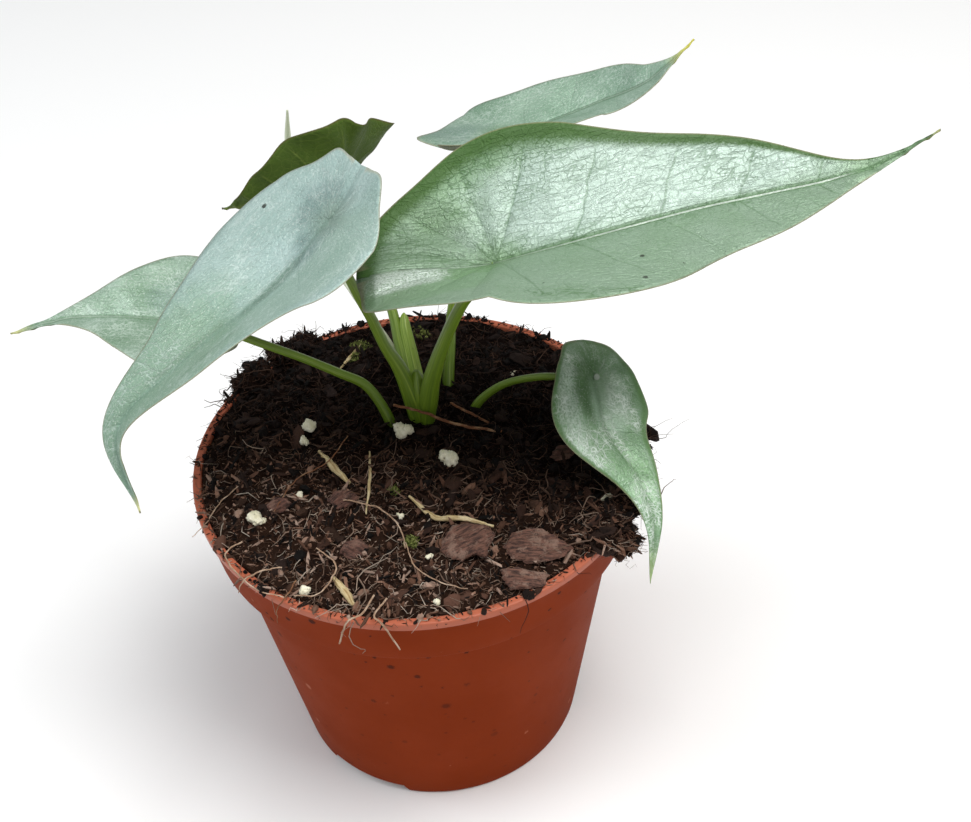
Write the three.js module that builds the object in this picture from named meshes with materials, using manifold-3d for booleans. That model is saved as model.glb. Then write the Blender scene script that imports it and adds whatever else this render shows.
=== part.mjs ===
// A potted silver-leaved alocasia in a 12 cm plastic nursery pot.
// Millimetres, +Z up. The origin is the middle of the pot's base, on the surface the pot stands on.
// The long leaf at the right points along +X and the two rear leaves stand towards +Y.
import * as THREE from 'three';
import { mergeVertices } from 'three/addons/utils/BufferGeometryUtils.js';
import Module from 'manifold-3d';

const wasm = await Module();
wasm.setup();

// Pot
const POT_HEIGHT = 97;
const POT_RIM_RADIUS = 60;
const POT_LIP_HEIGHT = 2.4;
const POT_LIP_STANDS_OUT = 0.7;
const POT_LIP_ROUND = 0.5;
const POT_BAND_HEIGHT = 16;
const POT_BAND_FOOT_RADIUS = 57.3;
const POT_WALL_TOP_RADIUS = 53.7;
const POT_BASE_RADIUS = 42;
const POT_WALL = 1.5;
const POT_FOOT_ROUND = 1;
const POT_FLOOR = 2;
const POT_SIDES = 60;
const CHANNEL_COUNT = 3;
const CHANNEL_TURN = 234.5;
const CHANNEL_HALF_ANGLES = [19.5, 16];
const CHANNEL_HEIGHT = 3.1;
const CHANNEL_START = 16;
const CHANNEL_WALL_ANGLE = 5;
const CHANNEL_ARC_STEPS = 8;
const DRAIN_HOLE_RADIUS = 2.6;
const DRAIN_HOLE_AT = 29;
const DRAIN_HOLE_ANGLE = 9;

// Soil
const SOIL_CROWN_Z = 100.2;
const SOIL_EDGE_DROP = 3.4;
const SOIL_EDGE_RADIUS = 56;
const SOIL_REAR_DROP = 4.2;
const SOIL_REAR_WAY = [0.6, 0.8];
const SOIL_REAR_SPAN = [26, 58];
const SOIL_RINGS = 8;
const SOIL_SIDES = 45;
const GAP = 0.3;
const GAP_UNDER_BLADE = 0.5;

// Leaf blades
const BLADE_HALF_THICKNESS = 0.45;
const MIDRIB_DEPTH = 1.1;
const VEIN_RELIEF = 0.28;
const VEIN_EVERY = 4;
const VEIN_LEAN = 0.55;
const BLADE_ROWS = [0, 0.09, 0.4, 0.72, 1];

// Each leaf: midrib points, then the blade's roll, fold and edge curl in degrees, and its flat outline
// as half widths at 0, 0, 0.2, 0.4, 0.6 and 0.78 of the midrib, the lobe length and where the notch
// lies as a share of it. Three numbers are the values at the stalk, the middle and the tip.
const LEAVES = {
  right: {
    steps: 33,
    rib: [[23.8, -2.3, 157.2], [48, -3.6, 163.1], [74, 0, 165.5], [110.5, 0.5, 170.7], [132.3, 6.4, 176.7]],
    roll: [-1, 14, 2], fold: [26, 14, 12], curl: [25, -3],
    widths: [25, 33, 31.5, 22, 15, 4.5], lobe: 30, notch: 1.08, dip: 0, lean: 0, wave: [0.5, 5],
  },
  front_left: {
    steps: 29,
    rib: [[-15, 10, 166], [-29.5, 0.7, 154.6], [-50.5, -13.7, 146.5],
      [-69.3, -22.4, 134.6], [-66.8, -34.8, 119]],
    roll: [6.5, 7.5, -4.5], fold: [10, 27, 20.5], curl: [-8.5, -12.5],
    widths: [14.6, 21.7, 24.4, 17.8, 10.5, 4.4], lobe: 15.3, notch: 0.9, dip: -22, lean: 0, wave: [0.3, 4],
  },
  far_left: {
    steps: 25,
    rib: [[-50.3, 13, 137.5], [-61.7, 16.3, 137.2], [-74.4, 18.2, 138.1],
      [-86.7, 17.9, 139], [-99.7, 17, 137.2]],
    roll: [-9, -6.5, 3], fold: [8, 15.5, 9.5], curl: [1, 1],
    widths: [14, 18.3, 19.8, 14.7, 6.7, 1.7], lobe: 11, notch: 0.85, dip: 7, lean: 0, wave: [0.3, 4],
  },
  low_right: {
    steps: 25,
    rib: [[47.7, -3.2, 119.2], [47.7, -17, 113.5], [53.8, -29.4, 107.1],
      [56.1, -39.4, 100.4], [53.9, -48.5, 89]],
    roll: [-11, -6.5, -0.5], fold: [4.5, 6.5, 12.5], curl: [-27, -25],
    widths: [8.7, 11.1, 13.2, 8.5, 4.3, 1.8], lobe: 13.5, notch: 0.93, dip: 34, lean: 0.02, wave: [0.3, 3],
  },
  rear_right: {
    steps: 25,
    rib: [[32, 65, 150.3], [46.8, 71.7, 150.8], [62.8, 74.6, 154.3], [75, 69.5, 162.2], [86.9, 70, 173.4]],
    roll: [-17.5, 1, -2], fold: [17, 18, 12], curl: [-1, 2.5],
    widths: [12.7, 20.2, 16.4, 14.4, 9.8, 5], lobe: 21.3, notch: 0.71, dip: -27, lean: 0, wave: [0.5, 4],
  },
  rear_left: {
    steps: 25,
    rib: [[-13, 68, 143.5], [-19.5, 62, 145], [-27.5, 61.5, 143.5], [-37.5, 62.5, 140], [-47.7, 67, 136.5]],
    roll: [65, 76, 42], fold: [17, 17, 12], curl: [0, 0],
    widths: [12, 14.5, 14, 10.3, 7, 3.6], lobe: 16, notch: 0.5, dip: -6, lean: 0.22, wave: [0.9, 5],
  },
};
// Where the outline of the lobes passes, as shares of the lobe's length and of the first half width.
const LOBE_STATIONS = [[0.95, 0.32], [1, 0.62], [0.6, 1]];
// Where the half widths after the stalk are measured, as shares of the midrib.
const OUTLINE_STATIONS = [0.2, 0.4, 0.6, 0.78, 0.9];
const HALF_WIDTH_NEAR_TIP = 1;

// Leaf stalks: points from below the soil to the blade, each with the stalk's radius there.
const STALKS = {
  front_left: [[0, 9.5, 86, 3], [0, 9.5, 98, 2.6], [-1, 10.5, 108, 2], [-3, 11, 117, 1.7],
    [-5.5, 11, 125.5, 1.5], [-8, 11, 134.5, 1.4], [-11, 10.5, 144, 1.3], [-14, 10.2, 155, 1.2], [-15, 10, 166, 1.2]],
  rear_left: [[2, 11, 86, 3], [2, 11.5, 98, 2.6], [0.5, 16.6, 103.5, 2], [-1.6, 27.8, 111.7, 1.6],
    [-2.8, 36, 118, 1.4], [-7, 53, 131, 1.2], [-13, 68, 143.5, 1.1]],
  right: [[3.5, 8.5, 86, 3], [3.5, 8.8, 98, 2.6], [5.2, 8.2, 112.8, 2], [10.1, 6, 129.1, 1.7],
    [15.2, 3.2, 142.4, 1.5], [20.5, -0.6, 151.5, 1.4], [23.8, -2.3, 157.2, 1.4]],
  rear_right: [[10.2, 20.5, 86, 1.8], [10.5, 23.6, 98, 1.7], [12.3, 31, 107.3, 1.5], [14.3, 38.5, 116.1, 1.3],
    [22, 53, 135, 1.2], [32, 65, 150.3, 1.2]],
  far_left: [[-6, 9, 87, 1.7], [-6, 9.4, 97, 1.6], [-8, 11.5, 104, 1.4], [-12, 13.5, 110.7, 1.3],
    [-18.3, 13.7, 115.5, 1.2], [-28, 13.8, 122.3, 1.1], [-39.3, 13.4, 129.8, 1.1], [-50.3, 13, 137.5, 1.1]],
  low_right: [[15.5, 13, 88, 1.4], [16.7, 13.1, 98, 1.3], [21.4, 12.5, 104.4, 1.1], [28.1, 9.8, 109.8, 1],
    [38.1, 3.7, 115, 1], [47.7, -3.2, 119.2, 1]],
};
const SHEATH = [[3, 10.5, 96, 2.8], [2.6, 14, 106, 2.2], [1.8, 20, 113.5, 1.7], [0.8, 27.2, 121, 0.5]];
const YOUNG_LEAF = [[2, 11.5, 97, 1.6], [-3.2, 28, 108.3, 1.1], [-12, 48, 113, 0.9], [-20.5, 67, 119, 0.9],
  [-26, 79, 131, 0.9], [-27.4, 81.6, 145, 1.1], [-26.2, 81.6, 157.3, 0.3]];
const STEM_BASE = [[0, 80], [3, 81], [5.2, 86], [5.6, 91], [4.6, 95.5], [0, 96.5]];
const STEM_BASE_AT = [1.8, 10];
const STEM_BASE_SIDES = 12;
const STALK_SIDES = 8;
const STALK_STEPS = 13;

// Loose pieces on the soil: x, y and the three half sizes, or x, y, length, width, turn and lift.
const PERLITE = [[-28.5, 11.3, 2, 2, 1.8], [-29.9, 5.8, 1.2, 1.6, 1.1], [-3, 3.2, 3, 2.4, 2.3],
  [7.9, -8.4, 2.6, 2.7, 2.4],
  [-42.5, -20.9, 2.4, 2.2, 1.9], [-30.6, -46, 1.6, 1.5, 1.3], [-31.5, -13.6, 1.1, 1, 1],
  [-6, -26.6, 1.1, 1.1, 0.9],
  [0.2, -41.3, 1.2, 1, 0.9], [46.8, -26.2, 1.7, 1.6, 1.3], [44.2, -32.6, 1.3, 1.2, 1],
  [0.8, -53.6, 1, 1, 0.8],
  [29.4, 28.4, 1.4, 1.3, 1]];
const BARK = [[27, -40.5, 17, 9.5, -8, 0], [9.8, -37.5, 13.5, 9, 12, 0], [22.5, -50, 11, 5.5, -14, 1.3],
  [-36.8, -17.5, 6.5, 4, 20, 0],
  [38.5, -8.7, 8, 4, 5, 0], [-18, -34.5, 7.5, 4.5, -30, 0], [-20.3, -19, 7, 4, 40, 0]];
const STRAWS = [
  [[-26, 1.6], [-22.5, -5], [-18.4, -12.3]],
  [[-23.6, -43], [-21, -48], [-19, -51.8]],
  [[-3.3, -20.9], [2.5, -27.5], [9, -30.2], [17, -33]],
  [[-19.5, 36.5], [-16.5, 42], [-13, 48]],
  [[-12.6, -1], [-13, -12], [-14.5, -25]],
];
const TWIGS = [
  [[-5, 6.6, 108.5, 0.7], [3, 5, 106, 0.7], [12, 3.4, 101.8, 0.8], [23, 1, 100, 0.7]],
  [[10.5, 14, 100.6, 0.6], [15, 9.5, 100.5, 0.7], [20, 5, 100, 0.6]],
];
const ROOTS_OVER_RIM = [
  [[-14, -50.5], [-17, -56.4], [-20.6, -57.7], [-24, -57.6]],
  [[-11, -52], [-14.2, -57.4], [-12.2, -59.6], [-9, -59.6]],
];
const ROOT_HEIGHTS = [99.2, 98.5, 89.5];
const STRAW_RADIUS = 0.8;
const ROOT_RADIUS = 0.5;
const FINE_LUMP = 1.5;
const CLOD_SIDES = [[-44, 2, 6], [114, 148, 5]];
const CLOD_SIZE = 3.5;
const CLOD_ROUGHNESS = 0.2;
const PERLITE_ROUGHNESS = 0.16;

// Finishes
const finish = (color, roughness) => new THREE.MeshStandardMaterial({ color, roughness, metalness: 0 });
const POT_FINISH = finish(0x8a3f27, 0.6);
const SOIL_FINISH = finish(0x2a1c14, 0.95);
const SILVER_LEAF = finish(0x8fb09c, 0.4);
const OLIVE_LEAF = finish(0x4d5f22, 0.5);
const STALK_FINISH = finish(0x6f8a3a, 0.5);
const PERLITE_FINISH = finish(0xe6e2cf, 0.9);
const BARK_FINISH = finish(0x5b3a2c, 0.85);
const STRAW_FINISH = finish(0xb59a6a, 0.8);
const TWIG_FINISH = finish(0x6e4327, 0.8);

const radians = THREE.MathUtils.degToRad;
const plant = new THREE.Group();

// Repeatable random numbers between 0 and 1.
function seeded(seed) {
  let state = seed;
  return () => {
    state = (state * 1664525 + 1013904223) % 4294967296;
    return state / 4294967296;
  };
}

// A closed geometry as a solid that can be joined and cut.
function solid(geometry) {
  const bare = geometry.clone();
  bare.deleteAttribute('normal');
  bare.deleteAttribute('uv');
  const merged = mergeVertices(bare, 1e-4);
  const index = merged.index.array;
  const corners = [];
  for (let k = 0; k < index.length; k += 3) {
    const [a, b, c] = [index[k], index[k + 1], index[k + 2]];
    if (a !== b && b !== c && c !== a) corners.push(a, b, c);
  }
  return new wasm.Manifold(new wasm.Mesh({
    numProp: 3,
    vertProperties: new Float32Array(merged.attributes.position.array),
    triVerts: new Uint32Array(corners),
  }));
}

// The largest single body of a solid, without the crumbs that a cut may leave.
function largest(body) {
  return body.decompose().sort((a, b) => b.volume() - a.volume())[0];
}

// Names a solid, gives it its finish and adds it to the plant.
function place(name, body, material) {
  const shape = body.getMesh();
  const geometry = new THREE.BufferGeometry();
  geometry.setAttribute('position', new THREE.Float32BufferAttribute(shape.vertProperties, 3));
  geometry.setIndex(Array.from(shape.triVerts));
  geometry.computeVertexNormals();
  const mesh = new THREE.Mesh(geometry, material);
  mesh.name = name;
  plant.add(mesh);
}

// A quadratic through three values at 0, 0.5 and 1.
function through(values, t) {
  const [a, b, c] = values;
  return a * (1 - t) * (1 - 2 * t) + b * 4 * t * (1 - t) + c * t * (2 * t - 1);
}

// Uniform Catmull-Rom points, with the end points mirrored past the ends.
function smoothLine(points, count) {
  const first = points[0].map((v, k) => 2 * v - points[1][k]);
  const final = points.at(-1).map((v, k) => 2 * v - points.at(-2)[k]);
  const all = [first, ...points, final];
  const line = [];
  for (let i = 0; i < count; i++) {
    const u = (i / (count - 1)) * (points.length - 1);
    const span = Math.min(Math.floor(u), points.length - 2);
    const t = u - span;
    const [p, q, r, s] = all.slice(span, span + 4);
    line.push(q.map((_, k) => 0.5 * (2 * q[k] + (r[k] - p[k]) * t
      + (2 * p[k] - 5 * q[k] + 4 * r[k] - s[k]) * t * t
      + (3 * q[k] - p[k] - 3 * r[k] + s[k]) * t ** 3)));
  }
  return line;
}

// The midrib as a line with its length so far and an upright frame at each point.
function midribFrames(leaf) {
  const line = smoothLine(leaf.rib, 81).map((p) => new THREE.Vector3(...p));
  const chord = line.at(-1).clone().sub(line[0]);
  const level = new THREE.Vector3(-chord.y, chord.x, 0).normalize();
  let length = 0;
  return line.map((at, i) => {
    if (i) length += at.distanceTo(line[i - 1]);
    const along = line[Math.min(i + 1, 80)].clone().sub(line[Math.max(i - 1, 0)]).normalize();
    const side = level.clone().addScaledVector(along, -along.dot(level)).normalize();
    return { at, along, side, up: along.clone().cross(side), length };
  });
}

// Frame values at a length along the midrib.
function frameAt(frames, length) {
  const last = frames.findIndex((f) => f.length >= length);
  const hi = frames[last < 1 ? 1 : last];
  const lo = frames[(last < 1 ? 1 : last) - 1];
  const t = THREE.MathUtils.clamp((length - lo.length) / (hi.length - lo.length), 0, 1);
  const mix = (key) => lo[key].clone().lerp(hi[key], t);
  return { at: mix('at'), along: mix('along'), side: mix('side'), up: mix('up') };
}

// Half of a leaf's flat outline from the notch round the lobe to the tip, as [along, half width].
function halfOutline(leaf, length) {
  const { widths: w, lobe, notch } = leaf;
  const points = LOBE_STATIONS.map(([back, out]) => [-back * lobe, out * w[0]]);
  points.unshift([-notch * lobe, 0]);
  points.push([0, w[1]]);
  OUTLINE_STATIONS.forEach((s, k) => points.push([s * length, k < 4 ? w[k + 2] : HALF_WIDTH_NEAR_TIP]));
  points.push([length, 0]);
  return smoothLine(points, leaf.steps).map(([x, y]) => [x, Math.max(y, 0)]);
}

// One point of a blade. row runs from the midrib, 0, to the edge, 1; lift is the distance above the sheet.
function bladePoint(leaf, frames, side, step, edge, row, lift) {
  const length = frames.at(-1).length;
  const foot = Math.max(0, edge[0] - VEIN_LEAN * edge[1]);
  const x = foot + (edge[0] - foot) * row;
  const s = THREE.MathUtils.clamp(x, 0, length);
  const { at, along, side: across, up } = frameAt(frames, s);
  const roll = radians(through(leaf.roll, s / length));
  const fold = radians(through(leaf.fold, s / length));
  const curl = radians(leaf.curl[side > 0 ? 0 : 1]);
  const width = edge[1] * (1 + side * leaf.lean);
  const pieces = 12;
  let out = 0;
  let rise = 0;
  for (let k = 0; k < pieces; k++) {
    const angle = fold + curl * (row * (k + 0.5) / pieces) ** 3;
    out += Math.cos(angle) * width * row / pieces;
    rise += Math.sin(angle) * width * row / pieces;
  }
  const acrossRolled = across.clone().multiplyScalar(Math.cos(roll)).addScaledVector(up, Math.sin(roll));
  const upRolled = up.clone().multiplyScalar(Math.cos(roll)).addScaledVector(across, -Math.sin(roll));
  const back = Math.min(x, 0);
  const dip = radians(leaf.dip) * -back / leaf.lobe / 2;
  const ripple = leaf.wave[0] * row ** 3 * (edge[1] / leaf.widths[1])
    * Math.sin(2 * Math.PI * leaf.wave[1] * step + side);
  return at.addScaledVector(along, back * Math.cos(dip))
    .addScaledVector(acrossRolled, side * out)
    .addScaledVector(upRolled, rise + back * Math.sin(dip) + ripple + lift);
}

// Height of the upper and lower face over the sheet, with the midrib and the side veins in relief.
function faceLift(face, step, column, row, edge, length, extra) {
  const slender = 1 - 0.75 * THREE.MathUtils.clamp(edge[0] / length, 0, 1);
  const midrib = row === 0 ? MIDRIB_DEPTH * slender : 0;
  const vein = column % VEIN_EVERY === 2 && row > 0 && row < 1 ? VEIN_RELIEF * (1 - 0.5 * row) : 0;
  if (face > 0) return BLADE_HALF_THICKNESS - 0.25 * midrib - 0.4 * vein + extra;
  return -BLADE_HALF_THICKNESS - midrib - vein - extra;
}

// A blade as one closed body: two faces split into triangles alike, joined round the edge.
function blade(leaf, extra) {
  const frames = midribFrames(leaf);
  const length = frames.at(-1).length;
  const outline = halfOutline(leaf, length);
  const rows = BLADE_ROWS;
  const corners = [];
  const point = (face, side, i, j) => {
    const step = i / (leaf.steps - 1);
    const seam = rows[j] === 0 || outline[i][1] === 0;
    const lift = faceLift(face, step, i, rows[j], outline[i], length, extra);
    return bladePoint(leaf, frames, seam ? 1 : side, step, outline[i], rows[j], lift);
  };
  const triangle = (a, b, c) => {
    if (a.distanceTo(b) > 1e-3 && b.distanceTo(c) > 1e-3 && c.distanceTo(a) > 1e-3) {
      corners.push(...a, ...b, ...c);
    }
  };
  for (const side of [1, -1]) {
    for (let i = 0; i < leaf.steps - 1; i++) {
      for (const face of [1, -1]) {
        const turned = face * side > 0;
        for (let j = 0; j < rows.length - 1; j++) {
          const [a, b] = [point(face, side, i, j), point(face, side, i + 1, j)];
          const [c, d] = [point(face, side, i + 1, j + 1), point(face, side, i, j + 1)];
          triangle(a, turned ? b : c, turned ? c : b);
          triangle(a, turned ? c : d, turned ? d : c);
        }
      }
      const j = rows.length - 1;
      const [a, b] = [point(1, side, i, j), point(1, side, i + 1, j)];
      const [c, d] = [point(-1, side, i + 1, j), point(-1, side, i, j)];
      triangle(a, side > 0 ? b : c, side > 0 ? c : b);
      triangle(a, side > 0 ? c : d, side > 0 ? d : c);
    }
  }
  const geometry = new THREE.BufferGeometry();
  geometry.setAttribute('position', new THREE.Float32BufferAttribute(corners, 3));
  return solid(geometry);
}

// A round bar along a smooth line whose points are [x, y, z, radius].
function bar(points, sides, steps, extra = 0) {
  const line = smoothLine(points, steps + 1);
  const curve = new THREE.CatmullRomCurve3(line.map((p) => new THREE.Vector3(...p.slice(0, 3))));
  const { normals, binormals, tangents } = curve.computeFrenetFrames(steps, false);
  const corners = [];
  const ends = [line[0], line.at(-1)].map((p, k) => new THREE.Vector3(...p.slice(0, 3))
    .addScaledVector(tangents[k ? steps : 0], k ? extra : -extra));
  const ring = (i) => Array.from({ length: sides }, (_, k) => {
    const angle = 2 * Math.PI * k / sides;
    const radius = line[i][3] + extra;
    const centre = i === 0 ? ends[0] : i === steps ? ends[1] : new THREE.Vector3(...line[i].slice(0, 3));
    return centre.clone().addScaledVector(normals[i], radius * Math.cos(angle))
      .addScaledVector(binormals[i], radius * Math.sin(angle));
  });
  for (let i = 0; i < steps; i++) {
    const [low, high] = [ring(i), ring(i + 1)];
    for (let k = 0; k < sides; k++) {
      const next = (k + 1) % sides;
      corners.push(...low[k], ...low[next], ...high[next], ...low[k], ...high[next], ...high[k]);
    }
  }
  const [foot, head] = [ring(0), ring(steps)];
  for (let k = 0; k < sides; k++) {
    const next = (k + 1) % sides;
    corners.push(...ends[0], ...foot[next], ...foot[k], ...ends[1], ...head[k], ...head[next]);
  }
  const geometry = new THREE.BufferGeometry();
  geometry.setAttribute('position', new THREE.Float32BufferAttribute(corners, 3));
  return solid(geometry);
}

// Pot: a turned shell, with ribs moulded up over the channels that drain it.
const bandFoot = POT_HEIGHT - POT_BAND_HEIGHT;
const bandTopRadius = POT_RIM_RADIUS - POT_LIP_STANDS_OUT;
const wallSlope = (POT_WALL_TOP_RADIUS - POT_BASE_RADIUS) / bandFoot;
const bandSlope = (bandTopRadius - POT_BAND_FOOT_RADIUS) / POT_BAND_HEIGHT;

// Inner radius of the pot at a height.
function innerRadius(z) {
  const ledge = bandFoot + POT_WALL;
  const band = POT_BAND_FOOT_RADIUS + bandSlope * (z - bandFoot) - POT_WALL;
  const wall = POT_BASE_RADIUS + wallSlope * z - POT_WALL;
  if (z >= ledge) return band;
  return z <= ledge - 1.5 ? wall : wall + (band - wall) * (z - ledge + 1.5) / 1.5;
}

// The pot's section, turned about its middle.
function potShell() {
  const lipFoot = POT_HEIGHT - POT_LIP_HEIGHT;
  const section = [
    [0, 0], [POT_BASE_RADIUS - POT_FOOT_ROUND, 0], [POT_BASE_RADIUS, POT_FOOT_ROUND],
    [POT_WALL_TOP_RADIUS, bandFoot], [POT_BAND_FOOT_RADIUS, bandFoot],
    [bandTopRadius, lipFoot], [POT_RIM_RADIUS, lipFoot + POT_LIP_ROUND],
    [POT_RIM_RADIUS, POT_HEIGHT - POT_LIP_ROUND], [POT_RIM_RADIUS - POT_LIP_ROUND, POT_HEIGHT],
    [innerRadius(POT_HEIGHT) + POT_LIP_ROUND, POT_HEIGHT],
    [innerRadius(POT_HEIGHT), POT_HEIGHT - POT_LIP_ROUND],
    [innerRadius(bandFoot + POT_WALL), bandFoot + POT_WALL], [innerRadius(bandFoot), bandFoot],
    [innerRadius(POT_FLOOR + POT_FOOT_ROUND), POT_FLOOR + POT_FOOT_ROUND],
    [innerRadius(POT_FLOOR) - POT_FOOT_ROUND, POT_FLOOR], [0, POT_FLOOR],
  ].map(([r, z]) => new THREE.Vector2(r, z));
  return solid(new THREE.LatheGeometry(section, POT_SIDES).rotateX(Math.PI / 2));
}

// Direction of one drainage channel, as an angle about the pot's middle.
function channelAngle(number) {
  return radians(CHANNEL_TURN + 360 * number / CHANNEL_COUNT);
}

// A block over or in one drainage channel: a slice of a ring whose sides lean in towards its roof.
function channelBlock(number, halfAngles, [bottom, top], [start, end]) {
  const [low, high] = halfAngles.map(radians);
  const slice = new THREE.Shape();
  slice.absarc(0, 0, end, -low, low, false);
  slice.absarc(0, 0, start, low, -low, true);
  const depth = top - bottom;
  const block = new THREE.ExtrudeGeometry(slice, { depth, bevelEnabled: false, curveSegments: CHANNEL_ARC_STEPS });
  const position = block.attributes.position;
  for (let k = 0; k < position.count; k++) {
    const [x, y, z] = [position.getX(k), position.getY(k), position.getZ(k)];
    const angle = Math.atan2(y, x) * (z > 0 ? high / low : 1) + channelAngle(number);
    const r = Math.hypot(x, y);
    position.setXYZ(k, r * Math.cos(angle), r * Math.sin(angle), z + bottom);
  }
  return solid(block);
}

function joined(bodies) {
  return bodies.reduce((sum, body) => sum.add(body));
}

const channels = Array.from({ length: CHANNEL_COUNT }, (_, k) => k);
const ribTop = CHANNEL_HEIGHT + POT_WALL;
const ribAngles = CHANNEL_HALF_ANGLES.map((angle) => angle + CHANNEL_WALL_ANGLE);
const ribSpan = [CHANNEL_START - POT_WALL, POT_BASE_RADIUS - 0.4 * POT_WALL];
const ribs = channels.map((k) => channelBlock(k, ribAngles, [1, ribTop], ribSpan));
const cutSpan = [CHANNEL_START, POT_BASE_RADIUS + 4];
const cuts = channels.map((k) => channelBlock(k, CHANNEL_HALF_ANGLES, [-1, CHANNEL_HEIGHT], cutSpan));
const holes = channels.flatMap((k) => [-1, 1].map((way) => {
  const drill = new THREE.CylinderGeometry(DRAIN_HOLE_RADIUS, DRAIN_HOLE_RADIUS, 8, 12).rotateX(Math.PI / 2);
  drill.translate(DRAIN_HOLE_AT, 0, CHANNEL_HEIGHT);
  return solid(drill.rotateZ(channelAngle(k) + way * radians(DRAIN_HOLE_ANGLE)));
}));
const pot = joined([potShell(), ...ribs]).subtract(joined([...cuts, ...holes]));
place('pot', pot, POT_FINISH);

// Height of the soil's surface: a low dome, lower towards the right rear, with lumps.
function soilTop(x, y) {
  const dome = SOIL_CROWN_Z - SOIL_EDGE_DROP * (x * x + y * y) / SOIL_EDGE_RADIUS ** 2;
  const rear = THREE.MathUtils.smoothstep(SOIL_REAR_WAY[0] * x + SOIL_REAR_WAY[1] * y, ...SOIL_REAR_SPAN);
  const lumps = 0.7 * Math.sin(0.31 * x + 1.3) * Math.sin(0.27 * y + 0.4)
    + 0.5 * Math.sin(0.71 * x - 0.5 * y) + 0.35 * Math.sin(1.1 * x + 2.1) * Math.sin(1.3 * y);
  return dome - SOIL_REAR_DROP * rear + lumps;
}

// The soil inside the pot, as rings across the top, down the wall and over the floor.
function soilFill() {
  const turns = Array.from({ length: SOIL_SIDES }, (_, k) => 2 * Math.PI * k / SOIL_SIDES);
  const rings = [];
  for (let k = 1; k <= SOIL_RINGS; k++) {
    rings.push(turns.map((a) => {
      const r = (k / SOIL_RINGS) * (innerRadius(POT_HEIGHT - 3) - 1);
      const z = Math.min(soilTop(r * Math.cos(a), r * Math.sin(a)), k < SOIL_RINGS ? 200 : POT_HEIGHT - 0.4);
      const reach = k < SOIL_RINGS ? r : innerRadius(z) - 1.2 * GAP;
      return [reach * Math.cos(a), reach * Math.sin(a), z];
    }));
  }
  const section = [[bandFoot + POT_WALL, GAP, 0], [bandFoot, GAP, 0], [POT_FLOOR + POT_FOOT_ROUND, 0, 0],
    [POT_FLOOR, GAP, POT_FOOT_ROUND]];
  for (const [z, up, inward] of section) {
    const r = innerRadius(z) - inward - 1.5 * GAP;
    rings.push(turns.map((a) => [r * Math.cos(a), r * Math.sin(a), z + up]));
  }
  const corners = [];
  const count = SOIL_SIDES;
  for (let k = 0; k < rings.length - 1; k++) {
    for (let i = 0; i < count; i++) {
      const [a, b] = [rings[k][i], rings[k][(i + 1) % count]];
      const [c, d] = [rings[k + 1][(i + 1) % count], rings[k + 1][i]];
      corners.push(...a, ...c, ...b, ...a, ...d, ...c);
    }
  }
  for (let i = 0; i < count; i++) {
    const next = (i + 1) % count;
    corners.push(0, 0, soilTop(0, 0), ...rings[0][i], ...rings[0][next]);
    corners.push(0, 0, POT_FLOOR + GAP, ...rings.at(-1)[next], ...rings.at(-1)[i]);
  }
  const geometry = new THREE.BufferGeometry();
  geometry.setAttribute('position', new THREE.Float32BufferAttribute(corners, 3));
  return solid(geometry);
}

// A rough lump: a ball whose surface is pushed in and out by a fixed ripple.
function lump(x, y, z, half, roughness, phase, extra = 0) {
  const ball = new THREE.IcosahedronGeometry(1, Math.max(...half) > FINE_LUMP ? 1 : 0);
  const position = ball.attributes.position;
  for (let k = 0; k < position.count; k++) {
    const p = new THREE.Vector3().fromBufferAttribute(position, k).normalize();
    const push = 1 + roughness * Math.sin(3.1 * p.x + phase) * Math.cos(2.7 * p.y - phase + 2.3 * p.z);
    position.setXYZ(k, x + p.x * (half[0] * push + extra), y + p.y * (half[1] * push + extra),
      z + p.z * (half[2] * push + extra));
  }
  return solid(ball);
}

// Clods that spill onto the rim at the right and at the rear left.
function clods() {
  const draw = seeded(7);
  return CLOD_SIDES.flatMap(([from, to, count]) => Array.from({ length: count }, (_, k) => {
    const angle = radians(from + (to - from) * (k + draw()) / count);
    const size = CLOD_SIZE * (0.75 + 0.5 * draw());
    const r = innerRadius(POT_HEIGHT) - 0.6 + 1.8 * draw();
    const [x, y] = [r * Math.cos(angle), r * Math.sin(angle)];
    return lump(x, y, POT_HEIGHT + 0.25 * size, [size, size, 0.8 * size], CLOD_ROUGHNESS, 9 * draw());
  }));
}

// Stalks that share the middle crown grow from one short stem base.
function centralShoot(extra) {
  const middle = (STEM_BASE[0][1] + STEM_BASE.at(-1)[1]) / 2;
  const section = STEM_BASE.map(([r, z]) => new THREE.Vector2(r ? r + extra : 0, z + extra * Math.sign(z - middle)));
  const base = new THREE.LatheGeometry(section, STEM_BASE_SIDES).rotateX(Math.PI / 2);
  base.translate(STEM_BASE_AT[0], STEM_BASE_AT[1], 0);
  return joined([
    solid(base),
    ...['front_left', 'rear_left', 'right'].map((key) => bar(STALKS[key], STALK_SIDES, STALK_STEPS, extra)),
    bar(SHEATH, STALK_SIDES, 8, extra),
    bar(YOUNG_LEAF, 6, 15, extra),
  ]);
}

const sideShoots = ['rear_right', 'far_left', 'low_right'];
const fatBlades = {};
for (const [key, leaf] of Object.entries(LEAVES)) fatBlades[key] = blade(leaf, GAP_UNDER_BLADE);
const twigs = (extra) => TWIGS.map((points) => bar(points, 6, 8, extra));

// Straws lie half sunk in the soil.
function straws(extra) {
  return STRAWS.map((points) => bar(points.map(([x, y], k) => [x, y, soilTop(x, y) + 0.5,
    k === 0 || k === points.length - 1 ? 0.7 * STRAW_RADIUS : STRAW_RADIUS]), 6, 5, extra));
}

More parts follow.
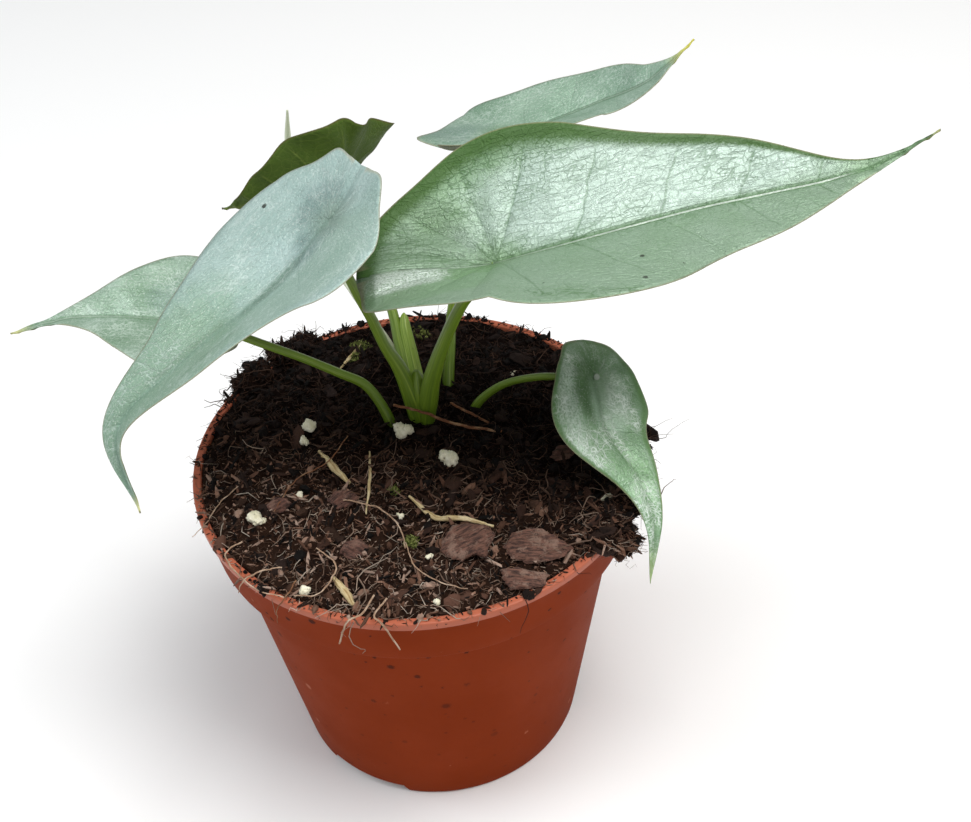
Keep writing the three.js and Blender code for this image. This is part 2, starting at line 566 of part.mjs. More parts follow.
// Two fine roots that hang over the front of the rim.
function rimRoots(extra) {
  return ROOTS_OVER_RIM.map((points) => {
    const r = POT_RIM_RADIUS + ROOT_RADIUS + 2.5 * GAP;
    const [inside, edge, over, end] = points;
    const outward = ([x, y]) => [x * r / Math.hypot(x, y), y * r / Math.hypot(x, y)];
    const [high, low, hanging] = ROOT_HEIGHTS;
    return bar([[...inside, soilTop(...inside) + 0.6, ROOT_RADIUS], [...edge, high, ROOT_RADIUS],
      [...outward(over), low, ROOT_RADIUS], [...outward(end), hanging, 0.8 * ROOT_RADIUS]], 5, 10, extra);
  });
}

function perlite(extra) {
  return PERLITE.map(([x, y, a, b, c], k) => {
    const z = soilTop(x, y) + 0.45 * c;
    return lump(x, y, z, [a, b, c], PERLITE_ROUGHNESS, 2.1 * k, extra);
  });
}

// Bark chips: cracked slabs with an uneven outline, lying tilted in the soil.
function bark(extra) {
  const draw = seeded(21);
  return BARK.map(([x, y, length, width, turn, lift]) => {
    const shape = new THREE.Shape();
    const count = 9;
    for (let k = 0; k < count; k++) {
      const angle = 2 * Math.PI * k / count;
      const reach = 1 - 0.22 * draw();
      shape[k ? 'lineTo' : 'moveTo']((0.5 * length * reach + extra) * Math.cos(angle),
        (0.5 * width * reach + extra) * Math.sin(angle));
    }
    const thick = Math.min(2.6, 0.3 * width);
    const depth = thick + 2 * extra;
    const slab = new THREE.ExtrudeGeometry(shape, { depth, bevelEnabled: false });
    slab.translate(0, 0, -thick / 2 - extra);
    slab.rotateY(radians(8 * (draw() - 0.5)));
    slab.rotateX(radians(14 * draw()));
    slab.rotateZ(radians(turn));
    slab.translate(x, y, soilTop(x, y) + 0.35 * thick + lift);
    return solid(slab);
  });
}

const pocketAngles = ribAngles.map((angle) => angle + 2);
const pocketSpan = [CHANNEL_START - POT_WALL - GAP, POT_BASE_RADIUS];
const pockets = joined([
  centralShoot(GAP), ...sideShoots.map((key) => bar(STALKS[key], STALK_SIDES, STALK_STEPS, GAP)),
  ...perlite(GAP), ...bark(GAP), ...straws(GAP), ...twigs(GAP), ...rimRoots(GAP),
  ...channels.map((k) => channelBlock(k, pocketAngles, [0, ribTop + GAP], pocketSpan)),
]);
// The clods rest just clear of the rim, which is cut out of them as a plain ring.
const rimOuter = POT_RIM_RADIUS + CLOD_SIZE;
const rimHole = innerRadius(POT_HEIGHT - CLOD_SIZE) - GAP;
const rimTop = POT_HEIGHT + GAP;
const rimSection = [[rimHole, bandFoot], [rimOuter, bandFoot], [rimOuter, rimTop], [rimHole, rimTop], [rimHole, bandFoot]];
const rimRing = new THREE.LatheGeometry(rimSection.map(([r, z]) => new THREE.Vector2(r, z)), POT_SIDES);
const spill = joined(clods()).subtract(solid(rimRing.rotateX(Math.PI / 2)));
const soil = soilFill().add(spill).subtract(pockets);
place('soil', largest(soil), SOIL_FINISH);

// The plant: each stalk stops just short of the blade that it carries.
const shoot = centralShoot(0).subtract(joined(Object.values(fatBlades)));
place('shoot_centre', largest(shoot), STALK_FINISH);
for (const key of sideShoots) {
  const stalk = bar(STALKS[key], STALK_SIDES, STALK_STEPS).subtract(fatBlades[key]);
  place(`stalk_${key}`, largest(stalk), STALK_FINISH);
}
for (const [key, leaf] of Object.entries(LEAVES)) {
  place(`blade_${key}`, blade(leaf, 0), key === 'rear_left' ? OLIVE_LEAF : SILVER_LEAF);
}

// Loose pieces, each in its own pocket.
const barkFat = joined(bark(GAP));
perlite(0).forEach((body, k) => place(`perlite_${k + 1}`, body, PERLITE_FINISH));
bark(0).forEach((body, k) => place(`bark_${k + 1}`, body, BARK_FINISH));
straws(0).forEach((body, k) => place(`straw_${k + 1}`, largest(body.subtract(barkFat)), STRAW_FINISH));
twigs(0).forEach((body, k) => place(`twig_${k + 1}`, body, TWIG_FINISH));
rimRoots(0).forEach((body, k) => place(`rim_root_${k + 1}`, body, STRAW_FINISH));

export default plant;
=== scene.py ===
"""Looks of a potted silver-leaved alocasia: pot, soil, stalks, leaf blades and what lies on the soil.

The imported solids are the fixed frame. Sizes in the classes are millimetres; meshes are made in metres.
"""

import logging
import math
from collections.abc import Callable, Sequence
from dataclasses import dataclass, field
from enum import Enum
from typing import Any

import bmesh
import bpy
import numpy as np
from bpy.types import Material, Mesh, Node, NodeSocket, NodeTree, Object
from mathutils import Matrix, Vector, noise


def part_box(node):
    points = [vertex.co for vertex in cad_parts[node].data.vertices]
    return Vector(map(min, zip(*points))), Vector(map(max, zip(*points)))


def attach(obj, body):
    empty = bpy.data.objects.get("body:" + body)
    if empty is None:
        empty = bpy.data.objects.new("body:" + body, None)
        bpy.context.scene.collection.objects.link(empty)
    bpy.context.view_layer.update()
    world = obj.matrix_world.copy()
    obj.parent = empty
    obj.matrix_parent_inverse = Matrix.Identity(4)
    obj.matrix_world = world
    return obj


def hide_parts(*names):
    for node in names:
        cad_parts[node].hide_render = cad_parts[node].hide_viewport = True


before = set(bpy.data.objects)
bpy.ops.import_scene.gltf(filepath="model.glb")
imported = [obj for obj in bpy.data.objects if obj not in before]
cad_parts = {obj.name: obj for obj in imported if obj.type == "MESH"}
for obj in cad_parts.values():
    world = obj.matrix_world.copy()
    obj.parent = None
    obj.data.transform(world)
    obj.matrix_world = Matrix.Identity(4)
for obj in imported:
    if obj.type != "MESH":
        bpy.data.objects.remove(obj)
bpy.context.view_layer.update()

MM = 0.001
BODY = "root"
IMAGE_WIDTH = 971
LOG = logging.getLogger("alocasia")

Pair = tuple[float, float]
Triple = tuple[float, float, float]
Point = Triple
StemPoint = tuple[float, float, float, float]
Face = tuple[int, ...]


class Slot(Enum):
    """The record's material slots."""

    POT = "pot"
    SOIL = "soil"
    SILVER = "leaf_silver"
    OLIVE = "leaf_olive"
    STALK = "stalk"
    PERLITE = "perlite"
    BARK = "bark"
    STRAW = "straw"
    TWIG = "twig"


# Small mathematics and colour


def smooth_line(points: Sequence[Sequence[float]], count: int) -> np.ndarray:
    """Uniform Catmull-Rom points, with the end points mirrored past the ends.

    Args:
        points: The points that the line passes through, each with any number of values.
        count: How many points to return.

    Returns:
        The points of the line, one in each row.
    """
    given = np.asarray(points, float)
    padded = np.vstack([2 * given[0] - given[1], given, 2 * given[-1] - given[-2]])
    u = np.linspace(0, len(given) - 1, count)
    span = np.minimum(u.astype(int), len(given) - 2)
    t = (u - span)[:, None]
    a, b, c, d = (padded[span + k] for k in range(4))
    cubic = (3 * b - a - 3 * c + d) * t**3
    return 0.5 * (2 * b + (c - a) * t + (2 * a - 5 * b + 4 * c - d) * t**2 + cubic)


def through(values: Sequence[float], t: np.ndarray) -> np.ndarray:
    """A quadratic through three values at 0, 0.5 and 1."""
    a, b, c = values
    return a * (1 - t) * (1 - 2 * t) + b * 4 * t * (1 - t) + c * t * (2 * t - 1)


def smoothstep(value: np.ndarray | float, low: float, high: float) -> np.ndarray:
    """A smooth step from 0 at low to 1 at high."""
    t = np.clip((np.asarray(value, float) - low) / (high - low), 0, 1)
    return t * t * (3 - 2 * t)


def unit(vectors: np.ndarray) -> np.ndarray:
    """Vectors scaled to length 1 along their last axis."""
    return vectors / np.maximum(np.linalg.norm(vectors, axis=-1, keepdims=True), 1e-12)


def seeded(seed: int) -> Callable[[], float]:
    """Repeatable random numbers between 0 and 1.

    Args:
        seed: The first state of the row of numbers.

    Returns:
        A function that gives the next number.
    """
    state = seed

    def draw() -> float:
        """The next number."""
        nonlocal state
        state = (state * 1664525 + 1013904223) % 4294967296
        return state / 4294967296

    return draw


def fractal(x: float, y: float, z: float, scale: float, octaves: int = 4) -> float:
    """Fractal noise at a place in millimetres."""
    return noise.fractal(Vector((x, y, z)) / scale, 0.9, 2.1, octaves)


def linear(hex_code: str) -> tuple[float, float, float, float]:
    """A colour written as #rrggbb, as a linear colour with full alpha.

    Args:
        hex_code: The colour as it looks on screen.

    Returns:
        Red, green, blue and alpha.
    """
    parts = [int(hex_code[k : k + 2], 16) / 255 for k in (1, 3, 5)]
    red, green, blue = (p / 12.92 if p <= 0.04045 else ((p + 0.055) / 1.055) ** 2.4 for p in parts)
    return red, green, blue, 1.0


# Meshes and objects


def new_object(name: str, mesh: Mesh) -> Object:
    """Adds an object with this mesh to the scene.

    Args:
        name: The object's name.
        mesh: Its mesh, already in place.

    Returns:
        The object, at the origin.
    """
    piece = bpy.data.objects.new(name, mesh)
    bpy.context.scene.collection.objects.link(piece)
    return piece


def mesh_from(name: str, places: np.ndarray, faces: Sequence[Sequence[int]]) -> Mesh:
    """A mesh from places in millimetres and faces.

    Args:
        name: The mesh's name.
        places: One place in each row.
        faces: The corners of each face.

    Returns:
        The mesh, in metres.
    """
    mesh = bpy.data.meshes.new(name)
    mesh.from_pydata((np.asarray(places, float) * MM).tolist(), [], [list(map(int, f)) for f in faces])
    mesh.update()
    return mesh


def finished(mesh: Mesh, finish: Material) -> Object:
    """A new object of a mesh, shaded smooth and in its finish."""
    smooth(mesh)
    mesh.materials.append(finish)
    return new_object(mesh.name, mesh)


def add_attribute(mesh: Mesh, name: str, values: np.ndarray) -> None:
    """Stores one number or one vector for each point of a mesh.

    Args:
        mesh: The mesh.
        name: The attribute's name.
        values: A row of numbers, or a row of vectors.
    """
    vector = values.ndim == 2
    layer = mesh.attributes.new(name, "FLOAT_VECTOR" if vector else "FLOAT", "POINT")
    layer.data.foreach_set("vector" if vector else "value", values.astype(np.float32).ravel())


def smooth(mesh: Mesh, on: bool = True) -> None:
    """Sets every face of a mesh to smooth or flat shading."""
    mesh.polygons.foreach_set("use_smooth", [on] * len(mesh.polygons))


def weld(mesh: Mesh, distance: float = 2e-6) -> None:
    """Merges points that lie on each other and drops faces that vanish.

    Args:
        mesh: The mesh to clean.
        distance: The largest distance that is merged, in metres.
    """
    work = bmesh.new()
    work.from_mesh(mesh)
    bmesh.ops.remove_doubles(work, verts=work.verts, dist=distance)
    bmesh.ops.dissolve_degenerate(work, edges=work.edges, dist=distance / 4)
    work.to_mesh(mesh)
    work.free()


def join(name: str, pieces: Sequence[Object]) -> Object:
    """Joins several mesh objects in one.

    Args:
        name: The name of the result.
        pieces: The objects to join; the first one stays.

    Returns:
        The joined object.
    """
    first = pieces[0]
    if len(pieces) > 1:
        with bpy.context.temp_override(active_object=first, selected_editable_objects=list(pieces)):
            bpy.ops.object.join()
    first.name = name
    first.data.name = name
    return first


def settle(piece: Object, slot: Slot, nodes: Sequence[str] = ()) -> Object:
    """Makes a finished piece ride on the body and stand for its CAD nodes.

    Args:
        piece: The finished piece.
        slot: The record's slot for the piece's finish; not used.
        nodes: The CAD nodes that it stands for.

    Returns:
        The same piece.
    """
    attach(piece, BODY)
    if nodes:
        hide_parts(*nodes)
    LOG.info("%s: %d faces", piece.name, len(piece.data.polygons))
    return piece


# Node trees


def infix(operation: str, swapped: bool = False) -> Callable[["Value", Any], "Value"]:
    """Makes an arithmetic operator that adds a Math node.

    Args:
        operation: The node's operation.
        swapped: Whether the other operand comes first.

    Returns:
        The operator, for the class Value.
    """

    def operator(value: "Value", other: Any) -> "Value":
        """The result of the operation."""
        return value.graph.math(operation, *((other, value) if swapped else (value, other)))

    return operator


class Value:
    """An output of a node. Arithmetic with it adds Math nodes to the graph that it belongs to."""

    __add__ = infix("ADD")
    __radd__ = infix("ADD", swapped=True)
    __sub__ = infix("SUBTRACT")
    __rsub__ = infix("SUBTRACT", swapped=True)
    __mul__ = infix("MULTIPLY")
    __rmul__ = infix("MULTIPLY", swapped=True)
    __truediv__ = infix("DIVIDE")
    __rtruediv__ = infix("DIVIDE", swapped=True)
    __pow__ = infix("POWER")

    def __init__(self, graph: "Graph", socket: NodeSocket) -> None:
        """Holds an output socket of a graph."""
        self.graph = graph
        self.socket = socket

    def __abs__(self) -> "Value":
        """The value without its sign."""
        return self.graph.math("ABSOLUTE", self)


class Added:
    """A node in a graph, whose outputs are read by name or number in square brackets."""

    def __init__(self, graph: "Graph", node: Node) -> None:
        """Holds a node of a graph."""
        self.graph = graph
        self.node = node

    def __getitem__(self, key: str | int) -> Value:
        """The output of that name or number."""
        return Value(self.graph, self.node.outputs[key])


class Graph:
    """Adds nodes to one node tree, sets their inputs and links them."""

    def __init__(self, tree: NodeTree) -> None:
        """Starts on a tree."""
        self.tree = tree

    def feed_socket(self, socket: NodeSocket, value: Any) -> None:
        """Links a value to an input socket, or sets a plain one on it.

        Args:
            socket: The input to feed.
            value: An output, a plain value, or a colour as "#rrggbb".
        """
        if isinstance(value, Value):
            self.tree.links.new(value.socket, socket)
        elif isinstance(value, str) and value.startswith("#"):
            socket.default_value = linear(value)
        else:
            socket.default_value = value

    def feed(self, added: Added | Node, key: str | int, value: Any) -> None:
        """Feeds the input of that name or number."""
        node = added.node if isinstance(added, Added) else added
        self.feed_socket(node.inputs[key], value)

    def add(self, kind: str, inputs: dict[str | int, Any] | None = None, **settings: Any) -> Added:
        """Adds a node.

        Args:
            kind: The node's type name.
            inputs: Values or outputs of other nodes by input name or number.
            **settings: Properties of the node, set before its inputs.

        Returns:
            The new node.
        """
        added = Added(self, self.tree.nodes.new(kind))
        for key, value in settings.items():
            setattr(added.node, key, value)
        for key, value in (inputs or {}).items():
            self.feed(added, key, value)
        return added

    def math(self, operation: str, *values: Any, clamp: bool = False) -> Value:
        """The result of a Math node.

        Args:
            operation: The node's operation.
            *values: Its inputs in order.
            clamp: Whether the result is kept between 0 and 1.

        Returns:
            The result.
        """
        return self.add("ShaderNodeMath", dict(enumerate(values)), operation=operation, use_clamp=clamp)[0]

    def vector(self, operation: str, *values: Any, scale: Any = None) -> Value:
        """The result of a Vector Math node.

        Args:
            operation: The node's operation.
            *values: Its vector inputs in order.
            scale: The number for the SCALE operation.

        Returns:
            The result.
        """
        inputs: dict[str | int, Any] = dict(enumerate(values))
        if scale is not None:
            inputs["Scale"] = scale
        added = self.add("ShaderNodeVectorMath", inputs, operation=operation)
        measures = operation in ("LENGTH", "DISTANCE", "DOT_PRODUCT")
        return added["Value" if measures else "Vector"]

    def combine(self, x: Any = 0.0, y: Any = 0.0, z: Any = 0.0) -> Value:
        """A vector from three numbers."""
        return self.add("ShaderNodeCombineXYZ", {0: x, 1: y, 2: z})[0]

    def split(self, vector: Value) -> tuple[Value, ...]:
        """The three numbers of a vector."""
        added = self.add("ShaderNodeSeparateXYZ", {0: vector})
        return added[0], added[1], added[2]

    def mix(self, share: Any, first: Any, second: Any) -> Value:
        """A mix of two colours.

        Args:
            share: How much of the second colour, from 0 to 1.
            first: The first colour.
            second: The second colour.

        Returns:
            The mixed colour.
        """
        node = self.add("ShaderNodeMix", data_type="RGBA").node
        for name, value in (("Factor_Float", share), ("A_Color", first), ("B_Color", second)):
            self.feed_socket(next(s for s in node.inputs if s.identifier == name), value)
        return Value(self, next(s for s in node.outputs if s.identifier == "Result_Color"))

    def step(self, value: Any, low: float, high: float, start: float = 0.0, end: float = 1.0) -> Value:
        """A smooth step of a number.

        Args:
            value: The number.
            low: Where the step starts.
            high: Where it ends.
            start: The result at low.
            end: The result at high.

        Returns:
            The result.
        """
        inputs = {"Value": value, "From Min": low, "From Max": high, "To Min": start, "To Max": end}
        return self.add("ShaderNodeMapRange", inputs, interpolation_type="SMOOTHSTEP")[0]

    def noise(self, vector: Any, scale: float, detail: float = 2.0, roughness: float = 0.5) -> Added:
        """A Noise Texture node.

        Args:
            vector: Where it is read.
            scale: How many ripples there are in one unit.
            detail: How many finer layers are added.
            roughness: How strong they are.

        Returns:
            The node, with outputs Fac and Color.
        """
        inputs = {"Vector": vector, "Scale": scale, "Detail": detail, "Roughness": roughness}
        return self.add("ShaderNodeTexNoise", inputs)

    def attribute(self, name: str) -> Added:
        """An Attribute node for a material."""
        return self.add("ShaderNodeAttribute", attribute_name=name)

    def named(self, name: str, kind: str = "FLOAT") -> Value:
        """A named attribute inside a geometry tree."""
        return self.add("GeometryNodeInputNamedAttribute", {"Name": name}, data_type=kind)[0]

    def store(
        self, geometry: Any, name: str, value: Any, kind: str = "FLOAT", domain: str = "POINT"
    ) -> Value:
        """Stores a named attribute inside a geometry tree.

        Args:
            geometry: The geometry to store it on.
            name: The attribute's name.
            value: The field to store.
            kind: Its data type.
            domain: What it is stored for.

        Returns:
            The geometry with the attribute.
        """
        inputs = {"Geometry": geometry, "Name": name, "Value": value}
        return self.add("GeometryNodeStoreNamedAttribute", inputs, data_type=kind, domain=domain)["Geometry"]

    def random(self, low: Any, high: Any, seed: int, kind: str = "FLOAT") -> Value:
        """A random number or vector for each element of a geometry tree.

        Args:
            low: The smallest value.
            high: The largest value.
            seed: The seed, different for each use in one tree.
            kind: FLOAT or FLOAT_VECTOR.

        Returns:
            The random value.
        """
        node = self.add("FunctionNodeRandomValue", {"Seed": seed}, data_type=kind).node
        sockets = [s for s in node.inputs if s.enabled]
        for socket, value in zip(sockets, (low, high)):
            self.feed_socket(socket, value)
        return Value(self, next(s for s in node.outputs if s.enabled))


def new_tree(
    name: str, kind: str, inputs: dict[str, Any], outputs: dict[str, str]
) -> tuple[Graph, Added, Added]:
    """A new node group with named sockets.

    Args:
        name: The group's name.
        kind: GeometryNodeTree or ShaderNodeTree.
        inputs: The default of each input by its name, or what it takes, such as Geometry.
        outputs: What each output gives by its name, such as Geometry.

    Returns:
        The graph to build in, its input node and its output node.
    """
    tree = bpy.data.node_groups.new(name, kind)
    for label, value in inputs.items():
        gives = {float: "Float", int: "Int"}.get(type(value), value)
        socket = tree.interface.new_socket(name=label, in_out="INPUT", socket_type=f"NodeSocket{gives}")
        if value != gives:
            socket.default_value = value
    for label, gives in outputs.items():
        tree.interface.new_socket(name=label, in_out="OUTPUT", socket_type=f"NodeSocket{gives}")
    graph = Graph(tree)
    return graph, graph.add("NodeGroupInput"), graph.add("NodeGroupOutput")


def run_tree(host: Object, tree: NodeTree, values: dict[str, Any]) -> Mesh:
    """Runs a geometry tree on an object and turns the result into a plain mesh.

    Args:
        host: The object that the tree works on.
        tree: The tree.
        values: Values of its inputs by name.

    Returns:
        The mesh that the tree made.
    """
    modifier = host.modifiers.new("shape", "NODES")
    modifier.node_group = tree
    for item in tree.interface.items_tree:
        if item.item_type == "SOCKET" and item.in_out == "INPUT" and item.name in values:
            modifier[item.identifier] = values[item.name]
    depsgraph = bpy.context.evaluated_depsgraph_get()
    source = host.evaluated_get(depsgraph)
    mesh = bpy.data.meshes.new_from_object(source, preserve_all_data_layers=True, depsgraph=depsgraph)
    host.modifiers.remove(modifier)
    return mesh


def grown(name: str, host: Mesh, tree: NodeTree, values: dict[str, Any]) -> Object:
    """A new object whose mesh a geometry tree makes from another mesh.

    Args:
        name: The new object's name.
        host: The mesh that the tree starts from; it isn't kept in the scene.
        tree: The tree.
        values: Values of its inputs by name.

    Returns:
        The new object.
    """
    helper = new_object(f"{name}_host", host)
    mesh = run_tree(helper, tree, values)
    bpy.data.objects.remove(helper)
    mesh.name = name
    return new_object(name, mesh)


def vein_net_group() -> NodeTree:
    """Shader group: a warped net of fine veins. Places are in millimetres.

    Returns:
        The group, with inputs Place, Cell, Thickness and Warp and the output Mask.
    """
    sockets = {"Place": "Vector", "Cell": 2.2, "Thickness": 0.1, "Warp": 0.8}
    graph, given, sink = new_tree("vein net", "ShaderNodeTree", sockets, {"Mask": "Float"})
    wander = graph.vector("SUBTRACT", graph.noise(given["Place"], 0.55, 2.0)["Color"], (0.5,) * 3)
    warp = graph.vector("SCALE", wander, scale=given["Warp"])
    place = graph.vector("ADD", given["Place"], warp)
    cells = graph.add(
        "ShaderNodeTexVoronoi", {"Vector": place, "Scale": 1.0 / given["Cell"]}, feature="DISTANCE_TO_EDGE",
        voronoi_dimensions="2D"
    )
    edge = cells["Distance"] / given["Thickness"]
    graph.feed(sink, "Mask", graph.step(edge, 0.35, 1.0, 1.0, 0.0))
    return graph.tree


def wrinkles_group() -> NodeTree:
    """Shader group: thin wandering wrinkles, where a noise crosses its middle. Places are in millimetres.

    Returns:
        The group, with inputs Place, Scale and Thickness and the output Mask.
    """
    sockets = {"Place": "Vector", "Scale": 0.4, "Thickness": 0.03}
    graph, given, sink = new_tree("wrinkles", "ShaderNodeTree", sockets, {"Mask": "Float"})
    ripple = graph.add("ShaderNodeTexNoise", {"Vector": given["Place"], "Detail": 2.5, "Roughness": 0.6})
    graph.feed(ripple, "Scale", given["Scale"])
    off = abs(ripple["Fac"] - 0.5)
    near = off / given["Thickness"]
    graph.feed(sink, "Mask", graph.step(near, 0.15, 1.0, 1.0, 0.0))
    return graph.tree


def specks_group() -> NodeTree:
    """Shader group: scattered specks of dirt. Places are in millimetres.

    Returns:
        The group, with inputs Place, Spacing, Share and Size and the output Mask.
    """
    sockets = {"Place": "Vector", "Spacing": 6.0, "Share": 0.4, "Size": 0.1}
    graph, given, sink = new_tree("specks", "ShaderNodeTree", sockets, {"Mask": "Float"})
    ragged = graph.vector("SCALE", graph.noise(given["Place"], 2.1, 3.0)["Color"], scale=1.1)
    place = graph.vector("ADD", given["Place"], ragged)
    cells = graph.add(
        "ShaderNodeTexVoronoi", {"Vector": place, "Scale": 1.0 / given["Spacing"]}, feature="F1"
    )
    draw = graph.split(cells["Color"])
    reach = given["Size"] * (draw[1] + 0.25)
    inside = graph.math("SUBTRACT", 1.0, cells["Distance"] / reach, clamp=True)
    chosen = graph.math("LESS_THAN", draw[0], given["Share"])
    graph.feed(sink, "Mask", graph.step(inside, 0.0, 0.5) * chosen)
    return graph.tree


def mottle_group() -> NodeTree:
    """Shader group: soft blotches with fine grain over them. Places are in millimetres.

    Returns:
        The group, with inputs Place, Blotch, Grain and Share and the output Mask.
    """
    sockets = {"Place": "Vector", "Blotch": 0.08, "Grain": 1.5, "Share": 0.35}
    graph, given, sink = new_tree("mottle", "ShaderNodeTree", sockets, {"Mask": "Float"})
    blotch = graph.add("ShaderNodeTexNoise", {"Vector": given["Place"], "Detail": 3.0})
    graph.feed(blotch, "Scale", given["Blotch"])
    grain = graph.add("ShaderNodeTexNoise", {"Vector": given["Place"], "Detail": 4.0, "Roughness": 0.65})
    graph.feed(grain, "Scale", given["Grain"])
    wide = graph.step(blotch["Fac"], 0.32, 0.68)
    fine = graph.step(grain["Fac"], 0.25, 0.75)
    share = given["Share"]
    both = wide * (1.0 - share) + fine * share
    graph.feed(sink, "Mask", both)
    return graph.tree


class Effects:
    """The shader groups that several materials use."""

    def __init__(self) -> None:
        """Builds each group once."""
        self.vein_net = vein_net_group()
        self.wrinkles = wrinkles_group()
        self.specks = specks_group()
        self.mottle = mottle_group()

    def place(self, graph: Graph, group: NodeTree, place: Any, **inputs: Any) -> Value:
        """Places a group in a material.

        Args:
            graph: The material's graph.
            group: The group to place.
            place: Where it is read.
            **inputs: Its other inputs by their names in small letters.

        Returns:
            The group's first output.
        """
        node = graph.add("ShaderNodeGroup", node_tree=group)
        graph.feed(node, "Place", place)
        for key, value in inputs.items():
            graph.feed(node, key.capitalize(), value)
        return node[0]


def new_material(name: str) -> tuple[Material, Graph, Node]:
    """A new material with a Principled shader.

    Args:
        name: The material's name.

    Returns:
        The material, its graph and its Principled node.
    """
    material = bpy.data.materials.new(name)
    material.use_nodes = True
    graph = Graph(material.node_tree)
    return material, graph, material.node_tree.nodes["Principled BSDF"]


def object_place(graph: Graph) -> Value:
    """Object coordinates in millimetres."""
    place = graph.add("ShaderNodeTexCoord")["Object"]
    return graph.vector("SCALE", place, scale=1 / MM)


def bump(graph: Graph, shader: Node, height: Any, depth: float, strength: float = 1.0) -> None:
    """Feeds a height to a Bump node on a shader's normal."""
    node = graph.add("ShaderNodeBump", {"Height": height, "Distance": depth * MM, "Strength": strength})
    graph.feed(shader, "Normal", node["Normal"])


# Finishes


@dataclass(frozen=True)
class Patch:
    """A soft, ragged patch of another colour on a blade, in millimetres of the flat blade; some patches are
    painted highlights, painted reflection and painted shade.
    """

    x: float
    y: float
    half_length: float
    half_width: float
    share: float
    colour: str
    fade: float = 0.0
    ragged: float = 0.5
    broken: float = 0.0
    power: float = 4.0
    soft: float = 0.45
    reach: float = 1.15

    def mask(self, graph: Graph, x: Any, y: Any, cloud: Any, grit: Any) -> Value:
        """Where the patch lies.

        Args:
            graph: The material's graph.
            x: Place along the midrib.
            y: Place across it.
            cloud: A soft noise from 0 to 1 that makes the patch ragged.
            grit: A fine noise from 0 to 1 that breaks the patch up.

        Returns:
            The mask, up to 1.
        """
        powers = []
        for place, middle, half in ((x, self.x, self.half_length), (y, self.y, self.half_width)):
            off = (place - middle) / half
            powers.append(abs(off) ** self.power)
        far = graph.math("ADD", *powers) ** (1.0 / self.power)
        far = far + (cloud - 0.5) * self.ragged
        near = graph.step(far, self.reach - self.soft, self.reach, 1.0, 0.0)
        return near * graph.step(grit, 0.4, 0.56, 1.0 - self.broken, 1.0)


